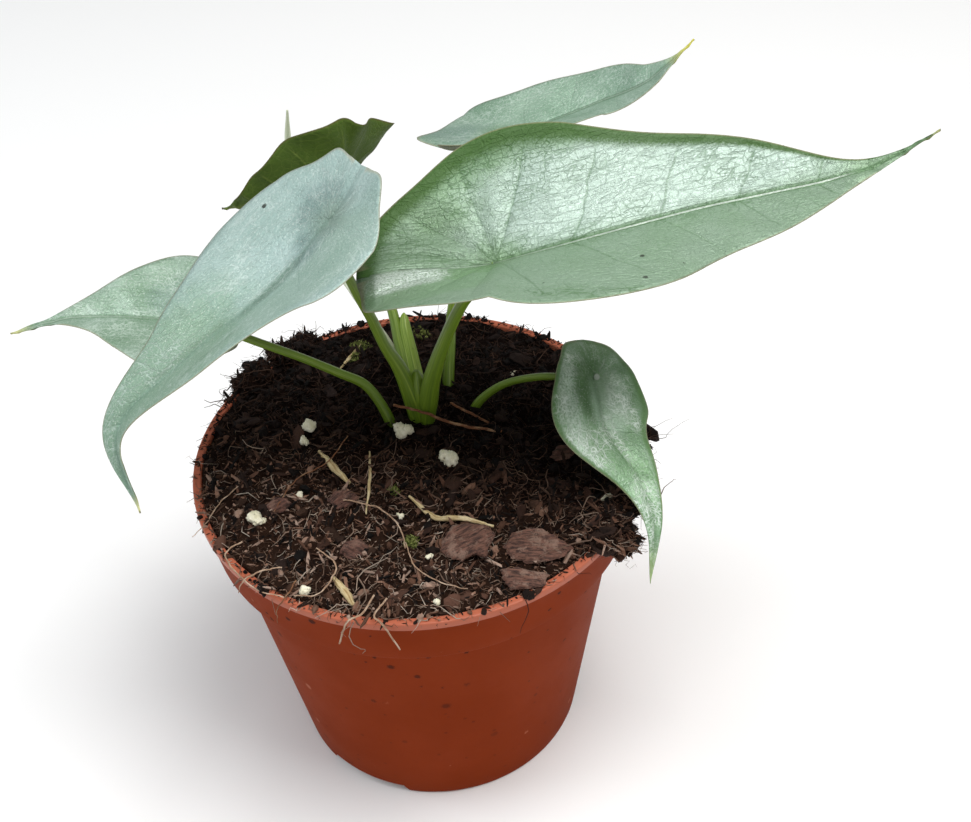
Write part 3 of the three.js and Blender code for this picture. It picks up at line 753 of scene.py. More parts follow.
@dataclass(frozen=True)
class LeafFinish:
    """Finish of a leaf blade: a silvery face with fine green veins, and a dull olive underside; the pale
    line along the midrib's crest is a painted highlight, and some patches are painted highlights, painted
    reflection and painted shade.
    """

    name: str
    silver: str = "#93ab95"
    green: str = "#72936e"
    vein: str = "#48703f"
    crease: str = "#48703f"
    margin: str = "#2f4a1b"
    rim: str = "#a39a7c"
    tip: str = "#cfd08c"
    under: str = "#4c5a22"
    under_vein: str = "#727a3e"
    heart: str = "#56803a"
    net: float = 0.3
    wrinkle: float = 0.35
    side_veins: float = 0.4
    cloud: float = 0.6
    metal: float = 0.3
    gloss: float = 0.36
    crinkle: float = 0.14
    crackle: float = 0.5
    # crest: strength of the painted highlight along the midrib's crest.
    crest: float = 0.35
    groove: float = 0.65
    warmth: float = 0.5
    grit: float = 0.28
    shine: float = 0.5
    band_share: float = 0.95
    patches: Sequence[Patch] = ()
    marks: Sequence[Triple] = ()
    mark: str = "#1f2418"

    def face_colour(self, graph: Graph, masks: dict[str, Any]) -> Value:
        """The colour of the upper face, with its painted highlights and painted shade.

        Args:
            graph: The material's graph.
            masks: The masks of the veins and patches by name.

        Returns:
            The colour.
        """
        face = graph.mix(masks["patches"] * self.cloud, self.silver, self.green)
        clear: Any = 1.0
        for patch in self.patches:
            mask = patch.mask(graph, masks["x"], masks["y"], masks["cloud"], masks["grit"])
            face = graph.mix(mask * patch.share, face, patch.colour)
            if patch.fade:
                clear = clear * (1.0 - mask * patch.fade)
        bright = graph.step(masks["grit"], 0.52, 0.72) * self.grit
        face = graph.mix(bright, face, "#dbe6dd")
        grey = graph.step(masks["grit"], 0.46, 0.3) * (self.grit + 0.02)
        face = graph.mix(grey * clear, face, self.green)
        face = graph.mix(masks["lines"] * clear, face, self.crease)
        side_vein = masks["side_vein"] * self.side_veins
        kept = clear * 0.5 + 0.5
        face = graph.mix(side_vein * kept, face, self.vein)
        face = graph.mix(masks["heart"] * self.warmth, face, self.heart)
        face = graph.mix(masks["groove"] * self.groove, face, self.vein)
        # Painted highlight: the midrib's crest is mixed towards near white.
        face = graph.mix(masks["crest"] * self.crest, face, "#dfeae0")
        return graph.mix(masks["band"] * self.band_share, face, self.margin)

    def material(self, effects: Effects) -> Material:
        """Builds the material.

        Args:
            effects: The shared shader groups.

        Returns:
            The material.
        """
        material, graph, shader = new_material(self.name)
        grain = graph.attribute("grain")["Vector"]
        weave = graph.attribute("weave")["Vector"]
        flat = graph.attribute("flat")["Vector"]
        flat_x, flat_y, edge = graph.split(flat)
        phase, row, spacing = graph.split(graph.attribute("vein")["Vector"])
        under, band, tip = graph.split(graph.attribute("zones")["Vector"])
        net = effects.place(graph, effects.vein_net, grain, cell=2.1, thickness=0.1, warp=2.2)
        fine = effects.place(graph, effects.vein_net, grain, cell=0.7, thickness=0.2, warp=0.8)
        along = graph.vector("MULTIPLY", weave, (1.0, 0.35, 1.0))
        across = graph.vector("MULTIPLY", weave, (0.4, 1.0, 1.0))
        creases = [
            effects.place(graph, effects.wrinkles, place, scale=scale, thickness=0.024)
            for place, scale in ((along, self.crackle), (across, 1.24 * self.crackle))
        ]
        patches = effects.place(graph, effects.mottle, grain, blotch=0.075, grain=1.3, share=0.35)
        where = graph.step(graph.noise(weave, 0.11, 2.0)["Fac"], 0.38, 0.6)
        crease = graph.math("MAXIMUM", *creases)
        lines = graph.math("MAXIMUM", net * self.net, fine * (0.4 * self.net))
        lines = graph.math("MAXIMUM", lines, crease * self.wrinkle) * where
        stray = (graph.noise(grain, 0.09, 2.0)["Fac"] - 0.5) * 0.16
        wave = graph.math("FRACT", phase + stray) - 0.5
        from_vein = abs(wave) * spacing
        sway = graph.noise(grain, 0.5, 2.0)["Fac"] * 0.4
        side_vein = graph.step(from_vein + sway, 0.2, 0.65, 1.0, 0.0)
        side_vein = side_vein * graph.step(row, 0.97, 0.7)
        side_vein = side_vein * graph.step(flat_x, -6.0, 6.0, 0.35, 1.0)
        rib_width = abs(flat_y)
        ahead = graph.step(flat_x, -3.0, 1.0)
        heart_at = graph.vector("LENGTH", graph.combine(flat_x, flat_y, 0.0))
        side_vein = side_vein * graph.step(heart_at, 3.0, 15.0, 0.2, 1.0)
        grit = graph.noise(grain, 1.9, 5.0, 0.65)["Fac"]
        ragged = band + (grit - 0.5) * 0.9
        masks = {
            "x": flat_x, "y": flat_y, "cloud": graph.noise(grain, 0.22, 4.0, 0.6)["Fac"], "patches": patches,
            "lines": lines, "side_vein": side_vein, "grit": grit,
            "groove": graph.step(rib_width, 0.3, 1.1, 1.0, 0.0) * ahead,
            # Painted highlight along the midrib's crest, rising from 1 to 40 mm along it and gone past 90
            # mm.
            "crest": graph.step(rib_width, 0.12, 0.4, 1.0, 0.0) * (
                graph.step(flat_x, 1.0, 40.0, 0.3, 1.0) * graph.step(flat_x, 82.0, 90.0, 1.0, 0.0)
            ),
            "heart": graph.step(heart_at + patches * 5.0, 3.0, 12.0, 1.0, 0.0),
            "band": graph.step(ragged, 0.25, 0.8) * graph.step(band, 0.0, 0.1)
        }
        back = graph.mix(patches * 0.45, self.under, self.margin)
        ridges = graph.math("MAXIMUM", side_vein * 0.8, masks["groove"])
        back = graph.mix(ridges * 0.7, back, self.under_vein)
        back = graph.mix(net * 0.15, back, self.under_vein)
        colour = graph.mix(under, self.face_colour(graph, masks), back)
        colour = graph.mix(graph.step(edge, 0.05, 0.4, 0.5, 0.0), colour, self.rim)
        colour = graph.mix(tip * 0.95, colour, self.tip)
        for x, y, size in self.marks:
            reach = graph.vector("DISTANCE", graph.combine(flat_x, flat_y, 0.0), (x, y, 0.0))
            reach = reach + (grit - 0.5) * (1.4 * size)
            colour = graph.mix(graph.step(reach, 0.6 * size, size, 0.9, 0.0), colour, self.mark)
        graph.feed(shader, "Base Color", colour)

        dull = graph.math("MAXIMUM", under, masks["band"] * 0.9)
        graph.feed(shader, "Roughness", self.gloss + dull * 0.2 + lines * 0.25 + patches * 0.1)
        metal = graph.math("SUBTRACT", 1.0, dull, clamp=True) * self.metal
        graph.feed(shader, "Metallic", metal)
        shader.inputs["Specular IOR Level"].default_value = self.shine
        shader.inputs["Coat Weight"].default_value = 0.1 * self.shine
        shader.inputs["Coat Roughness"].default_value = 0.25

        height = net * -0.35 + crease * -0.5 + grit * 1.1 + side_vein * -0.5
        bump(graph, shader, height, self.crinkle, 0.9)
        return material


@dataclass(frozen=True)
class StalkFinish:
    """Finish of a stalk: long pale ridges and dark furrows, darker towards its foot."""

    name: str
    foot: str = "#48620f"
    green: str = "#6a861f"
    furrow: str = "#4a6414"
    ridge: str = "#97ad3f"
    speck: str = "#4a3a20"
    gloss: float = 0.38

    def material(self, effects: Effects) -> Material:
        """Builds the material.

        Args:
            effects: The shared shader groups.

        Returns:
            The material.
        """
        material, graph, shader = new_material(self.name)
        ring = graph.attribute("ring")["Vector"]
        along = graph.attribute("along")["Fac"]
        share = graph.attribute("share")["Fac"]
        ring_x, ring_y, _ = graph.split(ring)
        long_way = along * (0.05 / MM)
        streak_place = graph.combine(ring_x * 5.5, ring_y * 5.5, long_way)
        streaks = graph.noise(streak_place, 1.0, 3.0, 0.6)["Fac"]
        colour = graph.mix(graph.step(share, 0.05, 0.4), self.foot, self.green)
        colour = graph.mix(graph.step(streaks, 0.5, 0.3, 0.0, 0.6), colour, self.furrow)
        colour = graph.mix(graph.step(streaks, 0.52, 0.72, 0.0, 0.6), colour, self.ridge)
        place = object_place(graph)
        dirt = effects.place(graph, effects.specks, place, spacing=2.2, share=0.25, size=0.16)
        colour = graph.mix(dirt * 0.5, colour, self.speck)
        graph.feed(shader, "Base Color", colour)
        graph.feed(shader, "Roughness", graph.step(streaks, 0.3, 0.7, self.gloss + 0.12, self.gloss - 0.04))
        shader.inputs["Coat Weight"].default_value = 0.08
        bump(graph, shader, streaks, 0.14, 0.7)
        return material


@dataclass(frozen=True)
class PotFinish:
    """Finish of the pot: matt moulded plastic with splashes of soil and pale scuffs, and a painted
    highlight: a lighter colour on the lip.
    """

    name: str = "terracotta plastic"
    base: str = "#83300b"
    deep: str = "#7b2c09"
    dirt: str = "#22100a"
    scuff: str = "#b97a62"
    # The lip's lighter colour, from lip_foot up, is a painted highlight.
    lip: str = "#c8765c"
    lip_foot: float = 94.6
    gloss: float = 0.5
    shine: float = 0.02

    def material(self, effects: Effects) -> Material:
        """Builds the material.

        Args:
            effects: The shared shader groups.

        Returns:
            The material.
        """
        material, graph, shader = new_material(self.name)
        place = object_place(graph)
        _, _, height = graph.split(place)
        cloud = effects.place(graph, effects.mottle, place, blotch=0.035, grain=0.6, share=0.2)
        colour = graph.mix(cloud, self.base, self.deep)
        # Painted highlight: the lip turns towards the lighter lip colour; the same mask also makes the lip
        # glossier and coated.
        lip = graph.step(height, self.lip_foot, self.lip_foot + 0.5, 0.0, 0.6)
        colour = graph.mix(lip, colour, self.lip)
        coarse = effects.place(graph, effects.specks, place, spacing=6.0, share=0.3, size=0.24)
        small = effects.place(graph, effects.specks, place, spacing=2.6, share=0.22, size=0.24)
        pale = effects.place(graph, effects.specks, place, spacing=7.5, share=0.2, size=0.16)
        high = graph.step(height, 20.0, 88.0, 0.35, 1.0)
        dirt = graph.math("MAXIMUM", coarse, small) * high
        colour = graph.mix(dirt * 0.8, colour, self.dirt)
        colour = graph.mix(pale * 0.55, colour, self.scuff)
        graph.feed(shader, "Base Color", colour)
        rough = graph.step(cloud, 0.0, 1.0, self.gloss - 0.03, self.gloss + 0.05)
        graph.feed(shader, "Roughness", rough - lip * 0.3)
        shader.inputs["Specular IOR Level"].default_value = self.shine
        graph.feed(shader, "Coat Weight", lip * 0.6)
        shader.inputs["Coat Roughness"].default_value = 0.35
        fine = graph.noise(place, 2.4, 3.0, 0.6)["Fac"]
        lift = fine * 0.25 + dirt * 0.8
        bump(graph, shader, lift, 0.1, 0.5)
        return material


@dataclass(frozen=True)
class TintFinish:
    """Finish of crumbs, flakes or fibres: each one draws its own tint from a row of colours."""

    name: str
    tints: tuple[str, ...]
    gloss: float = 0.85
    shine: float = 0.2
    grain_size: float = 1.6
    depth: float = 0.25

    def material(self, effects: Effects) -> Material:
        """Builds the material.

        Args:
            effects: The shared shader groups.

        Returns:
            The material.
        """
        material, graph, shader = new_material(self.name)
        tint = graph.attribute("tint")["Fac"]
        place = object_place(graph)
        grain = effects.place(graph, effects.mottle, place, blotch=0.3, grain=self.grain_size)
        shifted = graph.math("ADD", tint, (grain - 0.5) * 0.22, clamp=True)
        ramp = graph.add("ShaderNodeValToRGB", {"Fac": shifted})
        stops = ramp.node.color_ramp.elements
        for k, colour in enumerate(self.tints):
            where = k / (len(self.tints) - 1)
            stop = stops[k] if k < 2 else stops.new(where)
            stop.position = where
            stop.color = linear(colour)
        dark = 1.0 - grain * 0.45
        shade = graph.mix(dark, (0.0, 0.0, 0.0, 1.0), ramp["Color"])
        graph.feed(shader, "Base Color", shade)
        shader.inputs["Specular IOR Level"].default_value = self.shine
        graph.feed(shader, "Roughness", self.gloss - grain * 0.15)
        bump(graph, shader, grain, self.depth)
        return material


SOIL_TINTS = ("#060302", "#1b100c", "#3a271d", "#644637", "#94705d", "#c0a696")
FIBRE_TINTS = ("#1d120d", "#4a3225", "#7c6354", "#ad9786", "#d6c9b9")
THREAD_TINTS = ("#1b100b", "#41281c", "#6c4c3a", "#967561", "#bda390")
MOSS_TINTS = ("#4a5422", "#7d8840", "#aab06a")


@dataclass(frozen=True)
class PerliteFinish:
    """Finish of a perlite grain: chalky white with pits and soil in them."""

    name: str = "perlite"
    white: str = "#f9f4df"
    shade: str = "#d6cfae"
    pit: str = "#7d6f58"

    def material(self, effects: Effects) -> Material:
        """Builds the material.

        Args:
            effects: The shared shader groups.

        Returns:
            The material.
        """
        material, graph, shader = new_material(self.name)
        place = object_place(graph)
        cloud = effects.place(graph, effects.mottle, place, blotch=0.5, grain=2.5)
        colour = graph.mix(cloud, self.white, self.shade)
        pits = effects.place(graph, effects.specks, place, spacing=0.9, share=0.5, size=0.3)
        colour = graph.mix(pits * 0.6, colour, self.pit)
        graph.feed(shader, "Base Color", colour)
        graph.feed(shader, "Roughness", graph.step(cloud, 0.0, 1.0, 0.8, 0.95))
        bump(graph, shader, cloud - pits, 0.2)
        return material


@dataclass(frozen=True)
class WoodyFinish:
    """Finish of bark, straws, twigs and roots: long fibres, cracks and dusty patches."""

    name: str
    light: str
    dark: str
    dust: str
    run: Triple = (0.35, 1.8, 1.8)
    gloss: float = 0.8
    depth: float = 0.35

    def material(self, effects: Effects) -> Material:
        """Builds the material.

        Args:
            effects: The shared shader groups.

        Returns:
            The material.
        """
        material, graph, shader = new_material(self.name)
        grain = graph.attribute("grain")["Vector"]
        stretched = graph.vector("MULTIPLY", grain, self.run)
        fibres = graph.noise(stretched, 1.0, 5.0, 0.65)["Fac"]
        cloud = effects.place(graph, effects.mottle, grain, blotch=0.3, grain=2.2)
        colour = graph.mix(graph.step(fibres, 0.35, 0.62), self.dark, self.light)
        dusty = graph.step(cloud, 0.55, 0.85) * 0.6
        colour = graph.mix(dusty, colour, self.dust)
        graph.feed(shader, "Base Color", colour)
        graph.feed(shader, "Roughness", graph.step(fibres, 0.2, 0.8, self.gloss + 0.1, self.gloss - 0.1))
        bump(graph, shader, fibres, self.depth)
        return material


@dataclass(frozen=True)
class FloorFinish:
    """Finish of the studio floor: plain, pale and matt."""

    name: str = "studio floor"
    white: float = 0.97
    gloss: float = 0.9

    def material(self) -> Material:
        """Builds the material.

        Returns:
            The material.
        """
        material, graph, shader = new_material(self.name)
        place = graph.add("ShaderNodeTexCoord")["Object"]
        soft = graph.noise(place, 3.0, 2.0)["Fac"]
        shade = graph.step(soft, 0.0, 1.0, self.white - 0.01, self.white)
        graph.feed(
            shader, "Base Color", graph.add("ShaderNodeCombineColor", {0: shade, 1: shade, 2: shade})[0]
        )
        shader.inputs["Roughness"].default_value = self.gloss
        return material


# The pot


def turned_pot_tree() -> NodeTree:
    """Geometry tree: turns a section about Z, moulds ribs over the drainage channels and cuts them.

    Returns:
        The tree. Its geometry is the section as a line in the XZ plane.
    """
    sockets = {
        "Section": "Geometry", "Rim Radius": 0.06, "Sides": 192, "Ribs": "Geometry", "Channels": 3,
        "Channel Turn": 0.0, "Cut Half Angle": 0.34, "Cut Roof Share": 0.82, "Cut Start": 0.016,
        "Cut End": 0.046, "Cut Height": 0.0031, "Wall": 0.0015, "Rib End": 0.041, "Hole Radius": 0.0026,
        "Hole At": 0.029, "Hole Angle": 0.157, "Finish": "Material"
    }
    graph, given, sink = new_tree("turned pot", "GeometryNodeTree", sockets, {"Pot": "Geometry"})

    def slice_block(half_angle: Any, roof_share: Any, start: Any, end: Any, low: Any, high: Any) -> Any:
        """A slice of a ring about Z, whose sides lean in towards its roof.

        Args:
            half_angle: Half of the slice's angle at its bottom.
            roof_share: The roof's angle as a share of the bottom's.
            start: The inner radius.
            end: The outer radius.
            low: Height of the bottom.
            high: Height of the roof.

        Returns:
            The slice.
        """
        cube = graph.add(
            "GeometryNodeMeshCube",
            {"Size": (1.0, 1.0, 1.0), "Vertices X": 2, "Vertices Y": 17, "Vertices Z": 2}
        )["Mesh"]
        x, y, z = graph.split(graph.add("GeometryNodeInputPosition")[0])
        radius = start + (x + 0.5) * (end - start)
        lean = 1.0 + (z + 0.5) * (roof_share - 1.0)
        angle = y * 2.0 * half_angle * lean
        tall = low + (z + 0.5) * (high - low)
        place = graph.combine(radius * graph.math("COSINE", angle), radius * graph.math("SINE", angle), tall)
        return graph.add("GeometryNodeSetPosition", {"Geometry": cube, "Position": place})[0]

    def round_the_axis(block: Any, offset: Any = 0.0) -> Any:
        """Copies a block to each channel.

        Args:
            block: What is copied.
            offset: A further turn of each copy.

        Returns:
            The copies.
        """
        points = graph.add("GeometryNodePoints", {"Count": given["Channels"]})[0]
        number = graph.add("GeometryNodeInputIndex")[0]
        turn = number * (2 * math.pi) / given["Channels"]
        turn = turn + given["Channel Turn"] + offset
        euler = graph.combine(0.0, 0.0, turn)
        copies = graph.add("GeometryNodeInstanceOnPoints", {"Points": points, "Instance": block})
        graph.feed(copies, "Rotation", graph.add("FunctionNodeEulerToRotation", {0: euler})[0])
        return graph.add("GeometryNodeRealizeInstances", {"Geometry": copies[0]})[0]

    line = graph.add("GeometryNodeMeshToCurve", {"Mesh": given["Section"]})[0]
    x, _, z = graph.split(graph.add("GeometryNodeInputPosition")[0])
    beside = graph.combine(x - given["Rim Radius"], z * -1.0, 0.0)
    profile = graph.add("GeometryNodeSetPosition", {"Geometry": line, "Position": beside})[0]
    ring = graph.add(
        "GeometryNodeCurvePrimitiveCircle", {"Resolution": given["Sides"], "Radius": given["Rim Radius"]}
    )
    turned = graph.add("GeometryNodeCurveToMesh", {"Curve": ring[0], "Profile Curve": profile})[0]
    shell = graph.add("GeometryNodeMergeByDistance", {"Geometry": turned, "Distance": 1e-5})[0]
    shell = graph.add("GeometryNodeFlipFaces", {"Mesh": shell})[0]

    roof = given["Cut Height"] + given["Wall"]
    rib_extra = math.radians(5)
    rib_angle = given["Cut Half Angle"] + rib_extra
    rib = slice_block(
        rib_angle, given["Cut Roof Share"], given["Cut Start"] - given["Wall"], given["Rib End"], 0.001, roof
    )
    cut = slice_block(given["Cut Half Angle"], given["Cut Roof Share"], given["Cut Start"], given["Cut End"],
                      -0.001, given["Cut Height"])
    drill = graph.add(
        "GeometryNodeMeshCylinder", {"Vertices": 24, "Radius": given["Hole Radius"], "Depth": 0.012}
    )
    drill = graph.add(
        "GeometryNodeTransform",
        {"Geometry": drill["Mesh"], "Translation": graph.combine(given["Hole At"], 0.0, 0.0)}
    )[0]
    drills = [round_the_axis(drill, given["Hole Angle"] * way) for way in (-1.0, 1.0)]

    solid = graph.add("GeometryNodeMeshBoolean", operation="UNION", solver="MANIFOLD")
    graph.feed(solid, "Mesh 2", shell)
    graph.feed(solid, "Mesh 2", round_the_axis(rib))
    hollowed = graph.add("GeometryNodeMeshBoolean", operation="DIFFERENCE", solver="MANIFOLD")
    graph.feed(hollowed, "Mesh 1", solid["Mesh"])
    for tool in (round_the_axis(cut), *drills):
        graph.feed(hollowed, "Mesh 2", tool)
    done = graph.add("GeometryNodeSetMaterial", {"Geometry": hollowed["Mesh"], "Material": given["Finish"]})
    graph.feed(sink, "Pot", done[0])
    return graph.tree


@dataclass
class Pot:
    """The nursery pot: a turned shell with a rim band, a lip and drainage channels in its base."""

    finish: PotFinish
    height: float = 97.0
    rim_radius: float = 60.0
    lip_height: float = 2.4
    lip_stands_out: float = 0.7
    lip_round: float = 0.5
    band_height: float = 16.0
    band_foot_radius: float = 57.3
    wall_top_radius: float = 53.7
    base_radius: float = 42.0
    wall: float = 1.5
    foot_round: float = 1.0
    floor: float = 2.0
    sides: int = 192
    channels: int = 3
    channel_turn: float = 234.5
    channel_half_angle: float = 19.5
    channel_roof_half_angle: float = 16.0
    channel_height: float = 3.1
    channel_start: float = 16.0
    hole_radius: float = 2.6
    hole_at: float = 29.0
    hole_angle: float = 9.0
    ledge_slope: float = 1.5
    arc_steps: int = 5
    longest_stretch: float = 4.0
    cut_past_base: float = 4.0
    sharp_angle: float = 40.0

    @property
    def band_foot(self) -> float:
        """Height of the ledge under the rim band."""
        return self.height - self.band_height

    def inner_radius(self, z: float) -> float:
        """Inner radius of the pot.

        Args:
            z: The height.

        Returns:
            The radius at that height.
        """
        ledge = self.band_foot + self.wall
        top = self.rim_radius - self.lip_stands_out
        band_slope = (top - self.band_foot_radius) / self.band_height
        band = self.band_foot_radius + band_slope * (z - self.band_foot) - self.wall
        wall_slope = (self.wall_top_radius - self.base_radius) / self.band_foot
        wall = self.base_radius + wall_slope * z - self.wall
        if z >= ledge:
            return band
        if z <= ledge - self.ledge_slope:
            return wall
        return wall + (band - wall) * (z - ledge + self.ledge_slope) / self.ledge_slope

    def section(self) -> list[Pair]:
        """The pot's section from the middle of its underside round to the middle of its floor.

        Returns:
            Radius and height of each corner, with the round corners as arcs.
        """
        lip_foot = self.height - self.lip_height
        band_top = self.rim_radius - self.lip_stands_out
        inner = self.inner_radius
        corners = [
            (0.0, 0.0, 0.0), (self.base_radius, 0.0, self.foot_round),
            (self.wall_top_radius, self.band_foot, 0.35), (self.band_foot_radius, self.band_foot, 0.5),
            (band_top, lip_foot, 0.3), (self.rim_radius, lip_foot, self.lip_round),
            (self.rim_radius, self.height, self.lip_round),
            (inner(self.height), self.height, self.lip_round),
            (inner(self.band_foot + self.wall), self.band_foot + self.wall, 0.4),
            (inner(self.band_foot), self.band_foot, 0.4), (inner(self.floor), self.floor, self.foot_round),
            (0.0, self.floor, 0.0)
        ]
        return rounded(corners, self.arc_steps)

    def build(self, effects: Effects) -> Object:
        """Builds the pot.

        Args:
            effects: The shared shader groups.

        Returns:
            The finished piece.
        """
        places = [(r, 0.0, z) for r, z in divided(self.section(), self.longest_stretch)]
        host = bpy.data.meshes.new("pot_section")
        edges = [(k, k + 1) for k in range(len(places) - 1)]
        host.from_pydata((np.array(places) * MM).tolist(), edges, [])
        values = {
            "Rim Radius": self.rim_radius * MM, "Sides": self.sides, "Channels": self.channels,
            "Channel Turn": math.radians(self.channel_turn),
            "Cut Half Angle": math.radians(self.channel_half_angle),
            "Cut Roof Share": self.channel_roof_half_angle / self.channel_half_angle,
            "Cut Start": self.channel_start * MM, "Cut End": (self.base_radius + self.cut_past_base) * MM,
            "Cut Height": self.channel_height * MM, "Wall": self.wall * MM,
            "Rib End": (self.base_radius - 0.4 * self.wall) * MM, "Hole Radius": self.hole_radius * MM,
            "Hole At": self.hole_at * MM, "Hole Angle": math.radians(self.hole_angle),
            "Finish": self.finish.material(effects)
        }
        piece = grown("nursery_pot", host, turned_pot_tree(), values)
        smooth(piece.data)
        piece.data.set_sharp_from_angle(angle=math.radians(self.sharp_angle))
        return settle(piece, Slot.POT, ["pot"])


def rounded(corners: Sequence[Triple], steps: int) -> list[Pair]:
    """An outline whose corners are rounded by arcs.

    Args:
        corners: X, Y and rounding of each corner, in order.
        steps: How many points each arc has.

    Returns:
        The outline's points.
    """
    line: list[Pair] = []
    for k, (x, y, size) in enumerate(corners):
        if size == 0:
            line.append((x, y))
            continue
        here = Vector((x, y))
        back = (Vector(corners[k - 1][:2]) - here).normalized()
        ahead = (Vector(corners[k + 1][:2]) - here).normalized()
        first, last = here + back * size, here + ahead * size
        for j in range(steps):
            t = j / (steps - 1)
            spot = (1 - t) ** 2 * first + 2 * t * (1 - t) * here + t * t * last
            line.append((spot.x, spot.y))
    return line


def divided(line: Sequence[Pair], longest: float) -> list[Pair]:
    """A line whose long straight stretches are divided.

    Args:
        line: The line's points.
        longest: The longest stretch that stays whole.

    Returns:
        The line with its added points.
    """
    result = [line[0]]
    for (x0, y0), (x1, y1) in zip(line, line[1:]):
        count = max(1, math.ceil(math.hypot(x1 - x0, y1 - y0) / longest))
        result += [(x0 + (x1 - x0) * k / count, y0 + (y1 - y0) * k / count) for k in range(1, count + 1)]
    return result


# Leaf blades


